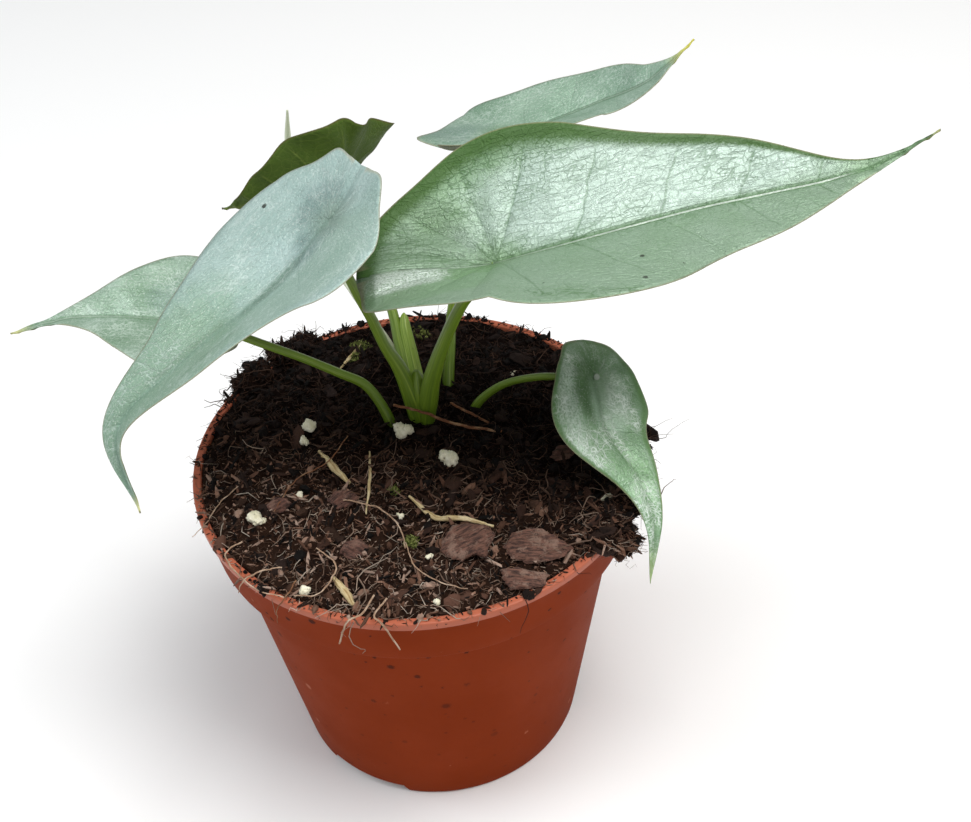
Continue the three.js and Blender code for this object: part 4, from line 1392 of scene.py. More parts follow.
@dataclass
class LeafBlade:
    """One arrow-shaped leaf blade, bent along its midrib, rolled, folded and curled at its edges.

    Rib points are millimetres; roll, fold and curl are degrees. Three numbers are the values at the stalk,
    the middle and the tip. Half widths stand at 0 (of the lobes), 0, 0.2, 0.4, 0.6 and 0.78 of the midrib.
    """

    name: str
    rib: Sequence[Point]
    roll: Triple
    fold: Triple
    curl: Pair
    widths: Sequence[float]
    lobe: float
    notch: float
    dip: float
    lean: float
    wave: Pair
    slot: Slot = Slot.SILVER
    band: Pair = (0.0, 0.0)
    veins: float = 11.0
    puff: float = 0.25
    pit: float = 0.0
    tip_from: float = 0.93
    seed: float = 0.0
    saddle: Pair = (0.0, 1.0)
    pit_length: float = 5.0
    relief: float = 1.0
    rib_width: float = 1.1
    groove: float = 0.5
    crest: float = 0.34
    soft: float = 0.0
    ease: int = 0
    lobe_sides: Pair = (1.0, 1.0)
    rib_points: int = 81
    slices: int = 12
    columns: int = 121
    rows: int = 27
    vein_lean: float = 0.55
    half_thickness: float = 0.42
    midrib_depth: float = 1.1
    midrib_width: float = 1.1
    vein_width: float = 0.55
    crest_width: float = 0.38
    pit_width: float = 3.2
    lobe_stations: Sequence[Pair] = ((0.95, 0.32), (1.0, 0.62), (0.6, 1.0))
    outline_stations: Sequence[float] = (0.2, 0.4, 0.6, 0.78, 0.9)
    half_width_near_tip: float = 1.0

    def frames(self) -> dict[str, np.ndarray]:
        """The midrib as a line, with an upright frame at each of its points.

        Returns:
            The places, the frame's three directions and the length so far.
        """
        line = smooth_line(self.rib, self.rib_points)
        chord = line[-1] - line[0]
        level = unit(np.array([-chord[1], chord[0], 0.0]))
        length = np.concatenate([[0], np.cumsum(np.linalg.norm(np.diff(line, axis=0), axis=1))])
        numbers = np.arange(self.rib_points)
        ahead = np.minimum(numbers + 1, self.rib_points - 1)
        along = unit(line[ahead] - line[np.maximum(numbers - 1, 0)])
        even = np.pad(along, ((self.ease, self.ease), (0, 0)), "edge")
        eased = unit(sum(even[k : k + self.rib_points] for k in range(2 * self.ease + 1)))
        side = unit(level - eased * (eased @ level)[:, None])
        return {"at": line, "along": along, "side": side, "up": np.cross(eased, side), "length": length}

    def outline(self, length: float, side: int) -> np.ndarray:
        """Half of the flat outline, from the notch round the lobe to the tip.

        Args:
            length: The midrib's length.
            side: 1 or -1, the half's side of the midrib.

        Returns:
            Along and half width of each point.
        """
        points = [(-self.notch * self.lobe, 0.0)]
        reach = self.lobe * self.lobe_sides[0 if side > 0 else 1]
        points += [(-back * reach, out * self.widths[0]) for back, out in self.lobe_stations]
        points.append((0.0, self.widths[1]))
        halves = [*self.widths[2:], self.half_width_near_tip]
        points += [(s * length, w) for s, w in zip(self.outline_stations, halves)]
        points.append((length, 0.0))
        line = smooth_line(points, self.columns)
        line[:, 1] = np.maximum(line[:, 1], 0)
        return line

    def half(self, side: int) -> dict[str, np.ndarray]:
        """One half of the sheet, as a grid of places with their normals and what the finish reads.

        Args:
            side: 1 or -1, the half's side of the midrib.

        Returns:
            Grids with one row for each column of the outline.
        """
        frame = self.frames()
        length = frame["length"][-1]
        edge = self.outline(length, side)
        along_edge, half_width = edge[:, :1], edge[:, 1:]
        row = (np.linspace(0, 1, self.rows) ** 1.6)[None, :]
        step = np.linspace(0, 1, self.columns)[:, None]
        foot = np.maximum(0, along_edge - self.vein_lean * half_width)
        x = foot + (along_edge - foot) * row
        s = np.clip(x, 0, length)
        spread = {}
        for key in ("at", "along", "side", "up"):
            values = frame[key]
            spread[key] = np.stack([np.interp(s, frame["length"], values[:, k]) for k in range(3)], -1)
        roll = np.radians(through(self.roll, s / length))[..., None]
        fold = np.radians(through(self.fold, s / length))
        curl = math.radians(self.curl[0 if side > 0 else 1])
        width = half_width * (1 + side * self.lean)
        pieces = (np.arange(self.slices) + 0.5) / self.slices
        angle = fold[..., None] + curl * (row[..., None] * pieces) ** 3
        out = (np.cos(angle).mean(-1) * width * row)[..., None]
        rise = np.sin(angle).mean(-1) * width * row
        across = spread["side"] * np.cos(roll) + spread["up"] * np.sin(roll)
        upward = spread["up"] * np.cos(roll) - spread["side"] * np.sin(roll)
        back = np.minimum(x, 0)
        dip = math.radians(self.dip) * (-back / self.lobe) / 2
        ripple = self.wave[0] * row**3 * (half_width / self.widths[1])
        ripple = ripple * np.sin(2 * math.pi * self.wave[1] * step + side)
        ridge = self.saddle[0] * smoothstep(-x, 0, self.lobe) * (
            1 - smoothstep(row * half_width, 0, self.saddle[1])
        )
        hollow = np.maximum(self.soft - row * half_width, 0) ** 2 / max(2 * self.soft, 1e-9)
        rounding = hollow * np.sin(fold) * smoothstep(half_width, 0, 2 * self.soft + 1e-9)
        lift = (rise + rounding + back * np.sin(dip) + ripple + ridge)[..., None]
        places = spread["at"] + spread["along"] * (back * np.cos(dip))[..., None]
        places = places + across * side * out + upward * lift
        slope = ((fold + curl * row**3) * smoothstep(row * half_width, 0, max(1.2, self.soft)))[..., None]
        normals = upward * np.cos(slope) - across * side * np.sin(slope)
        phase = self.veins * step**1.5
        along_step = np.gradient(places, axis=0) / np.gradient(phase, axis=0)[..., None]
        down_row = unit(np.gradient(places, axis=1))
        sideways = along_step - down_row * (along_step * down_row).sum(-1, keepdims=True)
        spacing = np.linalg.norm(sideways, axis=-1)
        return {
            "places": places, "normals": normals, "x": x, "y": row * half_width + 0 * x, "row": row + 0 * x,
            "phase": phase + 0 * x,
            "edge": (1 - row) * half_width + 1.5 * (1 - smoothstep(half_width, 0.6, 3)), "spacing": spacing,
            "length": np.full_like(x, length), "half_width": half_width + 0 * x
        }

    def lifts(self, half: dict[str, np.ndarray]) -> tuple[np.ndarray, np.ndarray]:
        """Heights of the upper and the lower face over the sheet.

        Args:
            half: The grids of one half.

        Returns:
            The two grids of heights, in millimetres.
        """
        x, y, row = half["x"], half["y"], half["row"]
        slender = 1 - 0.75 * np.clip(x / half["length"], 0, 1)
        body = self.half_thickness * (1 - 0.75 * row**6) * np.minimum(1, 0.3 + half["half_width"] / 6)
        ahead = smoothstep(x, -4, 1)
        part = half["phase"] - np.floor(half["phase"])
        from_vein = np.abs(part - 0.5) * half["spacing"]
        ends = smoothstep(row, 0, 0.12) * (1 - smoothstep(row, 0.82, 1))
        vein = np.exp(-((from_vein / self.vein_width) ** 2)) * ends
        panel = np.cos(2 * math.pi * part) * np.sin(math.pi * row) * self.puff * smoothstep(
            half["spacing"], 1, 5
        )
        rib = np.exp(-((y / self.midrib_width) ** 2)) * slender * ahead
        groove = np.exp(-((y / self.rib_width) ** 2)) * slender * ahead
        crest = np.exp(-((y / self.crest_width) ** 2)) * slender * ahead
        vein = vein * self.relief * smoothstep(np.hypot(x, y), 2, 12)
        hollow = self.pit * np.exp(-(np.hypot(x / self.pit_length, y / self.pit_width) ** 2))
        upper = body - self.groove * groove + self.crest * crest - 0.2 * vein + panel - hollow
        lower = -body - self.midrib_depth * rib - 0.28 * vein + 0.8 * panel - hollow
        return upper, lower

    def build(self, finish: Material) -> Object:
        """Builds the blade as one closed mesh.

        Args:
            finish: Its material.

        Returns:
            The finished piece.
        """
        count = self.columns * self.rows
        grid = np.arange(count).reshape(self.columns, self.rows)
        a, b = grid[:-1, :-1].ravel(), grid[1:, :-1].ravel()
        c, d = grid[1:, 1:].ravel(), grid[:-1, 1:].ravel()
        places, faces = [], []
        data: dict[str, list[np.ndarray]] = {"flat": [], "vein": [], "zones": [], "grain": [], "weave": []}
        for side in (1, -1):
            half = self.half(side)
            for face, lift in zip((1, -1), self.lifts(half)):
                first = len(places) * count
                places.append((half["places"] + half["normals"] * lift[..., None]).reshape(-1, 3))
                order = (a, b, c, d) if face * side > 0 else (d, c, b, a)
                faces.append(np.stack(order, 1) + first)
                tip = smoothstep(half["x"] / half["length"], self.tip_from, 1.0)
                share = self.band[0 if side > 0 else 1] * (
                    1 - 0.25 * np.clip(half["x"] / half["length"], 0, 1)
                )
                band = smoothstep((half["row"] - 1 + share) / np.maximum(share, 1e-6), 0, 1) * (share > 0)
                under = np.full_like(tip, face < 0)
                x, y = half["x"], side * half["y"]
                data["flat"].append(np.stack([x, y, half["edge"]], -1))
                data["vein"].append(np.stack([half["phase"], half["row"], half["spacing"]], -1))
                data["weave"].append(
                    np.stack([9 * half["phase"] + self.seed, 1.1 * y, 7.0 * side + 0 * x], -1)
                )
                data["zones"].append(np.stack([under, band, tip], -1))
                data["grain"].append(np.stack([x + self.seed, y, 0 * x], -1))
            top, bottom = (len(places) - 2) * count, (len(places) - 1) * count
            edge = grid[:, -1]
            strip = np.stack([edge[:-1] + top, edge[1:] + top, edge[1:] + bottom, edge[:-1] + bottom], 1)
            faces.append(strip if side > 0 else strip[:, ::-1])
        mesh = mesh_from(self.name, np.concatenate(places), np.concatenate(faces).tolist())
        for key, parts in data.items():
            add_attribute(mesh, key, np.concatenate([p.reshape(-1, 3) for p in parts]))
        weld(mesh)
        return settle(finished(mesh, finish), self.slot, [f"blade_{self.name.removeprefix('leaf_')}"])


def leaf_blades() -> list[LeafBlade]:
    """The leaves, with the measures of their solids.

    Returns:
        The six blades.
    """
    return [
        LeafBlade(
            "leaf_right",
            [(23.8, -2.3, 157.2), (48, -3.6, 163.1), (74, 0, 165.5), (110.5, 0.5, 170.7),
             (132.3, 6.4, 176.7)],
            (-1, 14, 2), (26, 14, 12), (25, -3), (25, 33, 31.5, 22, 15, 4.5), 30, 1.12, 0, 0, (0.5, 5),
            band=(0.3, 0.0), puff=0.3, tip_from=0.97, seed=0, saddle=(6.0, 15.0), columns=201, rows=35,
            lobe_stations=((1.08, 0.3), (1.02, 0.62), (0.6, 1.0)), half_width_near_tip=0.9, crest=0.45
        ),
        LeafBlade(
            "leaf_front_left",
            [(-15, 10, 166), (-29.5, 0.7, 154.6), (-50.5, -13.7, 146.5), (-69.3, -22.4, 134.6),
             (-66.8, -34.8, 119)],
            (6.5, 7.5, -4.5), (10, 27, 20.5), (-8.5, -12.5), (14.6, 21.7, 24.4, 17.8, 10.5, 4.4), 15.3, 1.0,
            -22, 0, (0.3, 4), veins=9, puff=0.1, tip_from=0.94, seed=210,
            lobe_stations=((1.02, 0.32), (1.0, 0.66), (0.6, 1.0)), relief=0.1, rib_width=2.2, groove=0.5,
            crest=0.0, soft=6.0, half_width_near_tip=1.9
        ),
        LeafBlade(
            "leaf_far_left",
            [(-50.3, 13, 137.5), (-61.7, 16.3, 137.2), (-74.4, 18.2, 138.1), (-86.7, 17.9, 139),
             (-99.7, 17, 137.2)],
            (-9, -6.5, 3), (8, 15.5, 9.5), (1, 1), (14, 18.3, 19.8, 14.7, 6.7, 1.7), 11, 0.85, 7, 0,
            (0.3, 4), veins=9, puff=0.15, tip_from=0.86, seed=420, relief=0.5, crest=0.15, soft=2.0
        ),
        LeafBlade(
            "leaf_low_right",
            [(47.7, -3.2, 119.2), (47.7, -17, 113.5), (53.8, -29.4, 107.1), (56.1, -39.4, 100.4),
             (53.9, -48.5, 89)],
            (-11, -6.5, -0.5), (4.5, 6.5, 12.5), (-27, -25), (8.7, 11.1, 13.2, 8.5, 4.3, 1.8), 13.5, 1.06,
            34, 0.02, (0.3, 3), band=(0.36, 0.2), veins=8, puff=0.18, pit=2.0, pit_length=5.5, tip_from=0.8,
            seed=630, lobe_stations=((1.0, 0.36), (0.84, 0.74), (0.45, 1.0)), relief=0.5, groove=0.25,
            crest=0.0, soft=2.5, ease=11, half_width_near_tip=0.8
        ),
        LeafBlade(
            "leaf_rear_right",
            [(32, 65, 150.3), (46.8, 71.7, 150.8), (62.8, 74.6, 154.3), (75, 69.5, 162.2),
             (86.9, 70, 173.4)],
            (-17.5, 1, -2), (17, 18, 12), (-1, 2.5), (12.7, 20.2, 16.4, 14.4, 9.8, 5), 21.3, 0.71, -27, 0,
            (0.5, 4), veins=9, puff=0.2, tip_from=0.83, seed=840, relief=0.5, soft=2.0
        ),
        LeafBlade(
            "leaf_rear_left",
            [(-13, 68, 143.5), (-19.5, 62, 145), (-27.5, 61.5, 143.5), (-37.5, 62.5, 140),
             (-47.7, 67, 136.5)],
            (65, 76, 42), (17, 17, 12), (0, 0), (12, 14.5, 14, 10.3, 7, 3.6), 16, 0.5, -6, 0.22, (1.4, 7),
            slot=Slot.OLIVE, veins=8, puff=0.2, tip_from=0.95, seed=1050,
            lobe_stations=((0.8, 0.3), (1.18, 0.72), (0.55, 1.02)), lobe_sides=(1.0, 0.6)
        )
    ]


def leaf_finishes() -> dict[str, LeafFinish]:
    """The finish of each leaf.

    Returns:
        The finishes by the leaves' names.
    """
    rows = [
        LeafFinish(
            "leaf_right", margin="#3d6322", net=0.4, wrinkle=0.65, cloud=0.5, metal=0.36, crinkle=0.22,
            crackle=0.36, crest=0.75, warmth=0.3, side_veins=0.5,
            patches=(
                # Painted shade: two darker green patches on the far half near the stalk.
                Patch(-6, 23, 15, 12, 0.4, "#638a52"), Patch(2, 9, 6, 9, 0.5, "#5f8656", broken=0.6),
                # Painted reflection: a bright silver patch over the far half, where the overhead light is
                # reflected.
                Patch(41, 13, 48, 13, 0.85, "#bfd2c9", fade=0.4, ragged=0.35, broken=0.25),
                Patch(38, -14, 62, 13, 0.1, "#93ae95", fade=0.75),
                Patch(-14, -15, 16, 7, 0.5, "#7a9f74", fade=0.5),
                Patch(-7, -5, 9, 4, 0.5, "#6b985c", fade=0.5),
                # Painted highlight: a bright silver patch on the near lobe.
                Patch(-22, -5, 11, 4.6, 0.95, "#d3e0d8", ragged=0.8, broken=0.8),
                Patch(-31.5, -6, 3, 9, 0.7, "#4c6e46"), Patch(46, 0.85, 46, 0.5, 0.6, "#3f6236", ragged=0.3),
                Patch(103, 0, 17, 12, 0.8, "#8fab8c", fade=0.8)
            ),
            marks=((29.1, -24.3, 0.6), (30.9, -14.6, 0.6), (12.0, -22.0, 0.25), (38.0, -20.5, 0.25))
        ),
        LeafFinish(
            "leaf_front_left", silver="#a9c0bc", green="#83a096", vein="#6b8a7a", crease="#d3e0dc",
            heart="#8aa08e", net=0.15, wrinkle=0.35, side_veins=0.06, cloud=0.75, gloss=0.42, crinkle=0.16,
            crackle=0.42, crest=0.0, groove=0.3, grit=0.55, tip="#e9e6a6",
            patches=(
                Patch(64, 0, 42, 20, 0.85, "#7b997f", soft=0.7), Patch(16, 12, 26, 9.5, 0.6, "#8ba796"),
                Patch(20, 0.8, 15, 2.6, 0.7, "#5f7a68", ragged=0.8, power=2, soft=0.8),
                Patch(48, -1.5, 18, 1.6, 0.5, "#5f7a62", ragged=0.8, power=2, soft=0.8),
                Patch(42, 8, 12, 1.4, 0.4, "#64806a", ragged=0.8, power=2, soft=0.8),
                # Painted shade: the two dark teal patches below darken the hollow round the stalk.
                Patch(-1, -3, 10, 9.5, 0.8, "#56706e", ragged=1, broken=0.6, power=2, soft=0.8),
                Patch(7, 1, 9, 5.5, 0.65, "#56706e", ragged=1, broken=0.6, power=2, soft=0.8)
            ),
            marks=((6.8, -18.3, 0.8),)
        ),
        LeafFinish(
            "leaf_far_left", silver="#9db5a5", green="#6c8e6e", vein="#5f8262", crease="#d3e3d8", net=0.4,
            wrinkle=0.55, side_veins=0.1, cloud=0.9, crinkle=0.14, crackle=0.42, crest=0.25, grit=0.6,
            patches=(
                Patch(12, 8, 22, 9, 0.5, "#76967a", power=2, soft=0.7),
                Patch(9, -7, 9, 7, 0.55, "#5f7c76", broken=0.8, power=2, soft=0.8)
            )
        ),
        LeafFinish(
            "leaf_low_right", silver="#8aab89", green="#5f8757", vein="#3f6434", crease="#e3efe6",
            heart="#587f42", margin="#4f7a35", net=0.5, wrinkle=0.95, side_veins=0.05, cloud=0.8, metal=0.3,
            gloss=0.36, crackle=0.42, crest=0.0, groove=0.3, grit=0.5, band_share=0.75, warmth=0.3,
            tip="#a9bf86",
            patches=(
                # Painted highlight: bright silver streaks left of the midrib.
                Patch(7, -8, 17, 3.4, 0.7, "#c9dacf", ragged=1.2, broken=0.7, power=2, soft=0.8),
                # Painted shade: the dark hollow beside the pit where the stalk meets the blade.
                Patch(3, -1.6, 11.5, 5.6, 0.8, "#3f6434", fade=0.8, ragged=0.35, power=2, soft=0.6),
                Patch(7.5, 2.6, 11.5, 5.2, 0.9, "#9dba9f", ragged=0.35, power=2, soft=0.5),
                # Painted highlight: bright silver streaks right of the midrib.
                Patch(8, 4.5, 12, 4, 0.4, "#bcd0c2", ragged=1.2, broken=0.7, power=2, soft=0.8),
                Patch(-10, 3, 4, 8, 0.5, "#5a8345", fade=0.5, soft=0.7),
                # Painted highlight: a glint at the pit.
                Patch(-0.8, 0.8, 0.9, 0.7, 0.9, "#eef4ef", power=2)
            )
        ),
        LeafFinish(
            "leaf_rear_right", silver="#93ae9b", green="#678a70", vein="#557458", crease="#c3d5ca", net=0.3,
            wrinkle=0.5, side_veins=0.1, cloud=0.85, crackle=0.42, crest=0.2, grit=0.55, tip="#e2dc5e",
            patches=(Patch(-9, 9, 12, 8, 0.6, "#6f8782", broken=0.5, power=2, soft=0.8),)
        ),
        LeafFinish(
            "leaf_rear_left", silver="#7c9472", under="#4c6420", margin="#304414", metal=0.1, net=0.2,
            tip="#4a3a22", rim="#5a4028", under_vein="#6f8038", shine=0.2
        )
    ]
    return {finish.name: finish for finish in rows}


# Stalks, straws, twigs and roots


def stem_tree() -> NodeTree:
    """Geometry tree: a ridged stem along a line of points that carry their own thickness.

    Returns:
        The tree. Its geometry is a line of edges with the attribute thickness.
    """
    sockets = {"Line": "Geometry", "Sides": 28, "Ridges": 7.0, "Ridge Depth": 0.05, "Finish": "Material"}
    graph, given, sink = new_tree("ridged stem", "GeometryNodeTree", sockets, {"Stem": "Geometry"})
    line = graph.add("GeometryNodeMeshToCurve", {"Mesh": given["Line"]})[0]
    run = graph.add("GeometryNodeSplineParameter")
    line = graph.store(line, "along", run["Length"])
    line = graph.store(line, "share", run["Factor"])
    circle = graph.add("GeometryNodeCurvePrimitiveCircle", {"Resolution": given["Sides"], "Radius": 1.0})[0]
    around = graph.add("GeometryNodeSplineParameter")["Factor"] * (2 * math.pi)
    swell = graph.math("COSINE", around * given["Ridges"])
    swell = 1.0 + swell * given["Ridge Depth"]
    position = graph.add("GeometryNodeInputPosition")[0]
    circle = graph.store(circle, "ring", position, "FLOAT_VECTOR")
    shaped = graph.vector("SCALE", position, scale=swell)
    profile = graph.add("GeometryNodeSetPosition", {"Geometry": circle, "Position": shaped})[0]
    sweep = {"Curve": line, "Profile Curve": profile, "Scale": graph.named("thickness"), "Fill Caps": True}
    tube = graph.add("GeometryNodeCurveToMesh", sweep)
    done = graph.add("GeometryNodeSetMaterial", {"Geometry": tube[0], "Material": given["Finish"]})
    graph.feed(sink, "Stem", done[0])
    return graph.tree


@dataclass
class Stem:
    """A stem along given points: x, y, z and radius of each in millimetres."""

    name: str
    points: Sequence[StemPoint]
    steps: int = 80
    sides: int = 28
    ridges: int = 9
    ridge_depth: float = 0.018
    wobble: float = 0.0
    slim: float = 1.0

    def build(self, tree: NodeTree, finish: Material) -> Object:
        """Builds the stem.

        Args:
            tree: The stem tree.
            finish: Its material.

        Returns:
            The stem, not yet riding on a body.
        """
        line = smooth_line(self.points, self.steps)
        if self.wobble:
            for row in line[1:-1]:
                for k in range(3):
                    row[k] += self.wobble * fractal(row[0] + 40 * k, row[1], row[2], 2.5, 3)
                row[3] *= 1 + 0.25 * fractal(row[0], row[1] + 70, row[2], 1.2, 2)
        host = bpy.data.meshes.new(f"{self.name}_line")
        host.from_pydata((line[:, :3] * MM).tolist(), [(k, k + 1) for k in range(len(line) - 1)], [])
        add_attribute(host, "thickness", np.maximum(line[:, 3] * self.slim, 0.05) * MM)
        values = {
            "Sides": self.sides, "Ridges": float(self.ridges), "Ridge Depth": self.ridge_depth,
            "Finish": finish
        }
        piece = grown(self.name, host, tree, values)
        smooth(piece.data)
        along_and_ring(piece.data)
        return piece


def along_and_ring(mesh: Mesh) -> None:
    """Adds the attribute grain to a stem: its length and its place round the section, in millimetres.

    Args:
        mesh: The stem's mesh, with the attributes along and ring.
    """
    count = len(mesh.vertices)
    along = np.zeros(count, np.float32)
    ring = np.zeros(count * 3, np.float32)
    mesh.attributes["along"].data.foreach_get("value", along)
    mesh.attributes["ring"].data.foreach_get("vector", ring)
    ring = ring.reshape(-1, 3)
    add_attribute(mesh, "grain", np.stack([along / MM, ring[:, 0], ring[:, 1]], 1))


@dataclass
class Shoots:
    """The leaf stalks, the torn sheath, the young leaf and the stem base that the middle ones share."""

    finish: StalkFinish
    sheath_finish: StalkFinish
    young_finish: StalkFinish
    middle: dict[str, Sequence[StemPoint]] = field(
        default_factory=lambda: {
            "front_left": [
                (1.6, 9.5, 86, 2.4), (1.4, 9.5, 98, 2.4), (0.3, 10.2, 107, 2.6), (-2.2, 11, 117, 2.0),
                (-5.5, 11, 125.5, 1.5), (-8, 11, 134.5, 1.4), (-11, 10.5, 144, 1.3), (-14, 10.2, 155, 1.2),
                (-15, 10, 165.7, 1.1)
            ],
            "rear_left": [
                (2, 11, 86, 3), (2, 11.5, 98, 2.6), (0.5, 16.6, 103.5, 2), (-1.6, 27.8, 111.7, 1.6),
                (-2.8, 36, 118, 1.4), (-7, 53, 131, 1.2), (-13, 67.7, 143.3, 1.0)
            ],
            "right": [
                (3.0, 8.9, 86, 2.4), (3.2, 8.9, 98, 2.3), (4.3, 8.5, 107, 2.7), (6.1, 7.7, 116, 2.3),
                (10.1, 6, 129.1, 1.7), (15.2, 3.2, 142.4, 1.5), (20.5, -0.6, 151.5, 1.4),
                (23.6, -2.2, 156.8, 1.25)
            ]
        }
    )
    outer: dict[str, Sequence[StemPoint]] = field(default_factory=lambda: {
        "rear_right": [
            (10.2, 20.5, 86, 1.8), (10.5, 23.6, 98, 1.7), (12.3, 31, 107.3, 1.5), (14.3, 38.5, 116.1, 1.3),
            (22, 53, 135, 1.2), (31.9, 64.9, 150, 1.1)],
        "far_left": [
            (-6, 9, 87, 1.7), (-6, 9.4, 97, 1.6), (-8, 11.5, 104, 1.4), (-12, 13.5, 110.7, 1.3),
            (-18.3, 13.7, 115.5, 1.2), (-28, 13.8, 122.3, 1.1), (-39.3, 13.4, 129.8, 1.1),
            (-50.1, 13, 137.2, 1.0)],
        "low_right": [
            (15.5, 13, 88, 1.4), (16.7, 13.1, 98, 1.3), (21.4, 12.5, 104.4, 1.1), (28.1, 9.8, 109.8, 1),
            (38.1, 3.7, 114.9, 0.95), (47.3, -3, 116.1, 0.7)],
    })
    sheath: Sequence[StemPoint] = (
        (2.8, 10.5, 96, 2.8), (2.8, 13.5, 101.5, 2.4), (1.7, 20.5, 106.7, 2), (0.9, 26.5, 111, 1.8),
        (0.3, 31, 114.4, 1.55), (0.3, 33.6, 116.4, 1.1), (0.4, 34.8, 117.3, 0.3))
    web: Sequence[StemPoint] = (
        (2.3, 9.9, 94, 2.4), (2.3, 9.9, 102, 2.7), (2.2, 10.2, 108.5, 2.5), (2, 10.9, 113, 1.9),
        (1.9, 11.4, 115.6, 0.7)
    )
    young_leaf: Sequence[StemPoint] = (
        (2, 11.5, 97, 1.6), (-3.2, 28, 108.3, 1.1), (-12, 48, 113, 0.9), (-20.5, 67, 119, 0.9),
        (-26, 79, 131, 0.9), (-27.4, 81.6, 145, 1.1), (-26.2, 81.6, 157.3, 0.3))
    stem_base: Sequence[StemPoint] = (
        (1.8, 10, 80, 2.5), (1.8, 10, 84, 4.6), (1.8, 10, 91, 5.5), (1.8, 10, 95, 4.6), (1.8, 10, 96.5, 1.5))

    def build(self, effects: Effects, tree: NodeTree) -> list[Object]:
        """Builds the shoots.

        Args:
            effects: The shared shader groups.
            tree: The stem tree.

        Returns:
            The finished pieces.
        """
        green = self.finish.material(effects)
        pale = self.sheath_finish.material(effects)
        young = self.young_finish.material(effects)
        parts = [Stem(f"stem_{key}", points).build(tree, green) for key, points in self.middle.items()]
        parts.append(Stem("sheath", self.sheath, ridge_depth=0.09, ridges=5).build(tree, pale))
        parts.append(Stem("young_leaf", self.young_leaf, ridge_depth=0.03, ridges=3).build(tree, young))
        parts.append(Stem("web", self.web, steps=40, ridges=6, ridge_depth=0.03).build(tree, green))
        parts.append(Stem("stem_base", self.stem_base, steps=24).build(tree, green))
        pieces = [settle(join("shoots_middle", parts), Slot.STALK, ["shoot_centre"])]
        for key, points in self.outer.items():
            stalk = Stem(f"shoot_{key}", points).build(tree, green)
            pieces.append(settle(stalk, Slot.STALK, [f"stalk_{key}"]))
        return pieces


# Soil and what lies on it


def crumbs_tree() -> NodeTree:
    """Geometry tree: crumbs scattered over a surface, each with its own size, tint and dents.

    Returns:
        The tree. Its geometry is the surface, with the attribute density.
    """
    sockets = {
        "Surface": "Geometry", "Per Square Metre": 1e5, "Seed": 1, "Smallest": 0.0005, "Largest": 0.002,
        "Rarity": 3.0, "Flatness": 0.6, "Stretch": 1.0, "Tilt": 0.6, "Tint Power": 1.6, "Dents": 1.7,
        "Detail": 2, "Finish": "Material"
    }
    graph, given, sink = new_tree("crumbs", "GeometryNodeTree", sockets, {"Crumbs": "Geometry"})
    density = graph.named("density") * given["Per Square Metre"]
    spread = graph.add(
        "GeometryNodeDistributePointsOnFaces",
        {"Mesh": given["Surface"], "Density": density, "Seed": given["Seed"]}
    )
    ball = graph.add("GeometryNodeMeshIcoSphere", {"Radius": 1.0, "Subdivisions": given["Detail"]})["Mesh"]
    draw = graph.random(0.0, 1.0, 11) ** given["Rarity"]
    size = given["Smallest"] + draw * (given["Largest"] - given["Smallest"])
    long_way = given["Stretch"] * graph.random(0.7, 1.4, 17)
    tall = given["Flatness"] * graph.random(0.6, 1.4, 13)
    flat = graph.combine(long_way, graph.random(0.55, 1.0, 12), tall)
    copies = graph.add("GeometryNodeInstanceOnPoints", {"Points": spread["Points"], "Instance": ball})
    tilt_x = graph.random(-1.0, 1.0, 14) * given["Tilt"]
    tilt_y = graph.random(-1.0, 1.0, 18) * given["Tilt"]
    turn = graph.combine(tilt_x, tilt_y, graph.random(0.0, 6.2832, 19))
    graph.feed(copies, "Rotation", graph.add("FunctionNodeEulerToRotation", {0: turn})[0])
    graph.feed(copies, "Scale", graph.vector("SCALE", flat, scale=size))
    marked = graph.store(copies[0], "size", size, domain="INSTANCE")
    tint = graph.random(0.0, 1.0, 15) ** given["Tint Power"]
    marked = graph.store(marked, "tint", tint * graph.named("pale_share"), domain="INSTANCE")
    loose = graph.add("GeometryNodeRealizeInstances", {"Geometry": marked})[0]
    position = graph.add("GeometryNodeInputPosition")[0]
    size_here = graph.named("size")
    local = graph.vector("SCALE", position, scale=0.9 / size_here)
    push = graph.vector("SUBTRACT", graph.noise(local, 1.0, 2.0)["Color"], (0.5, 0.5, 0.5))
    push = graph.vector("SCALE", push, scale=size_here * given["Dents"])
    dented = graph.add("GeometryNodeSetPosition", {"Geometry": loose, "Offset": push})[0]
    done = graph.add("GeometryNodeSetMaterial", {"Geometry": dented, "Material": given["Finish"]})
    graph.feed(sink, "Crumbs", done[0])
    return graph.tree


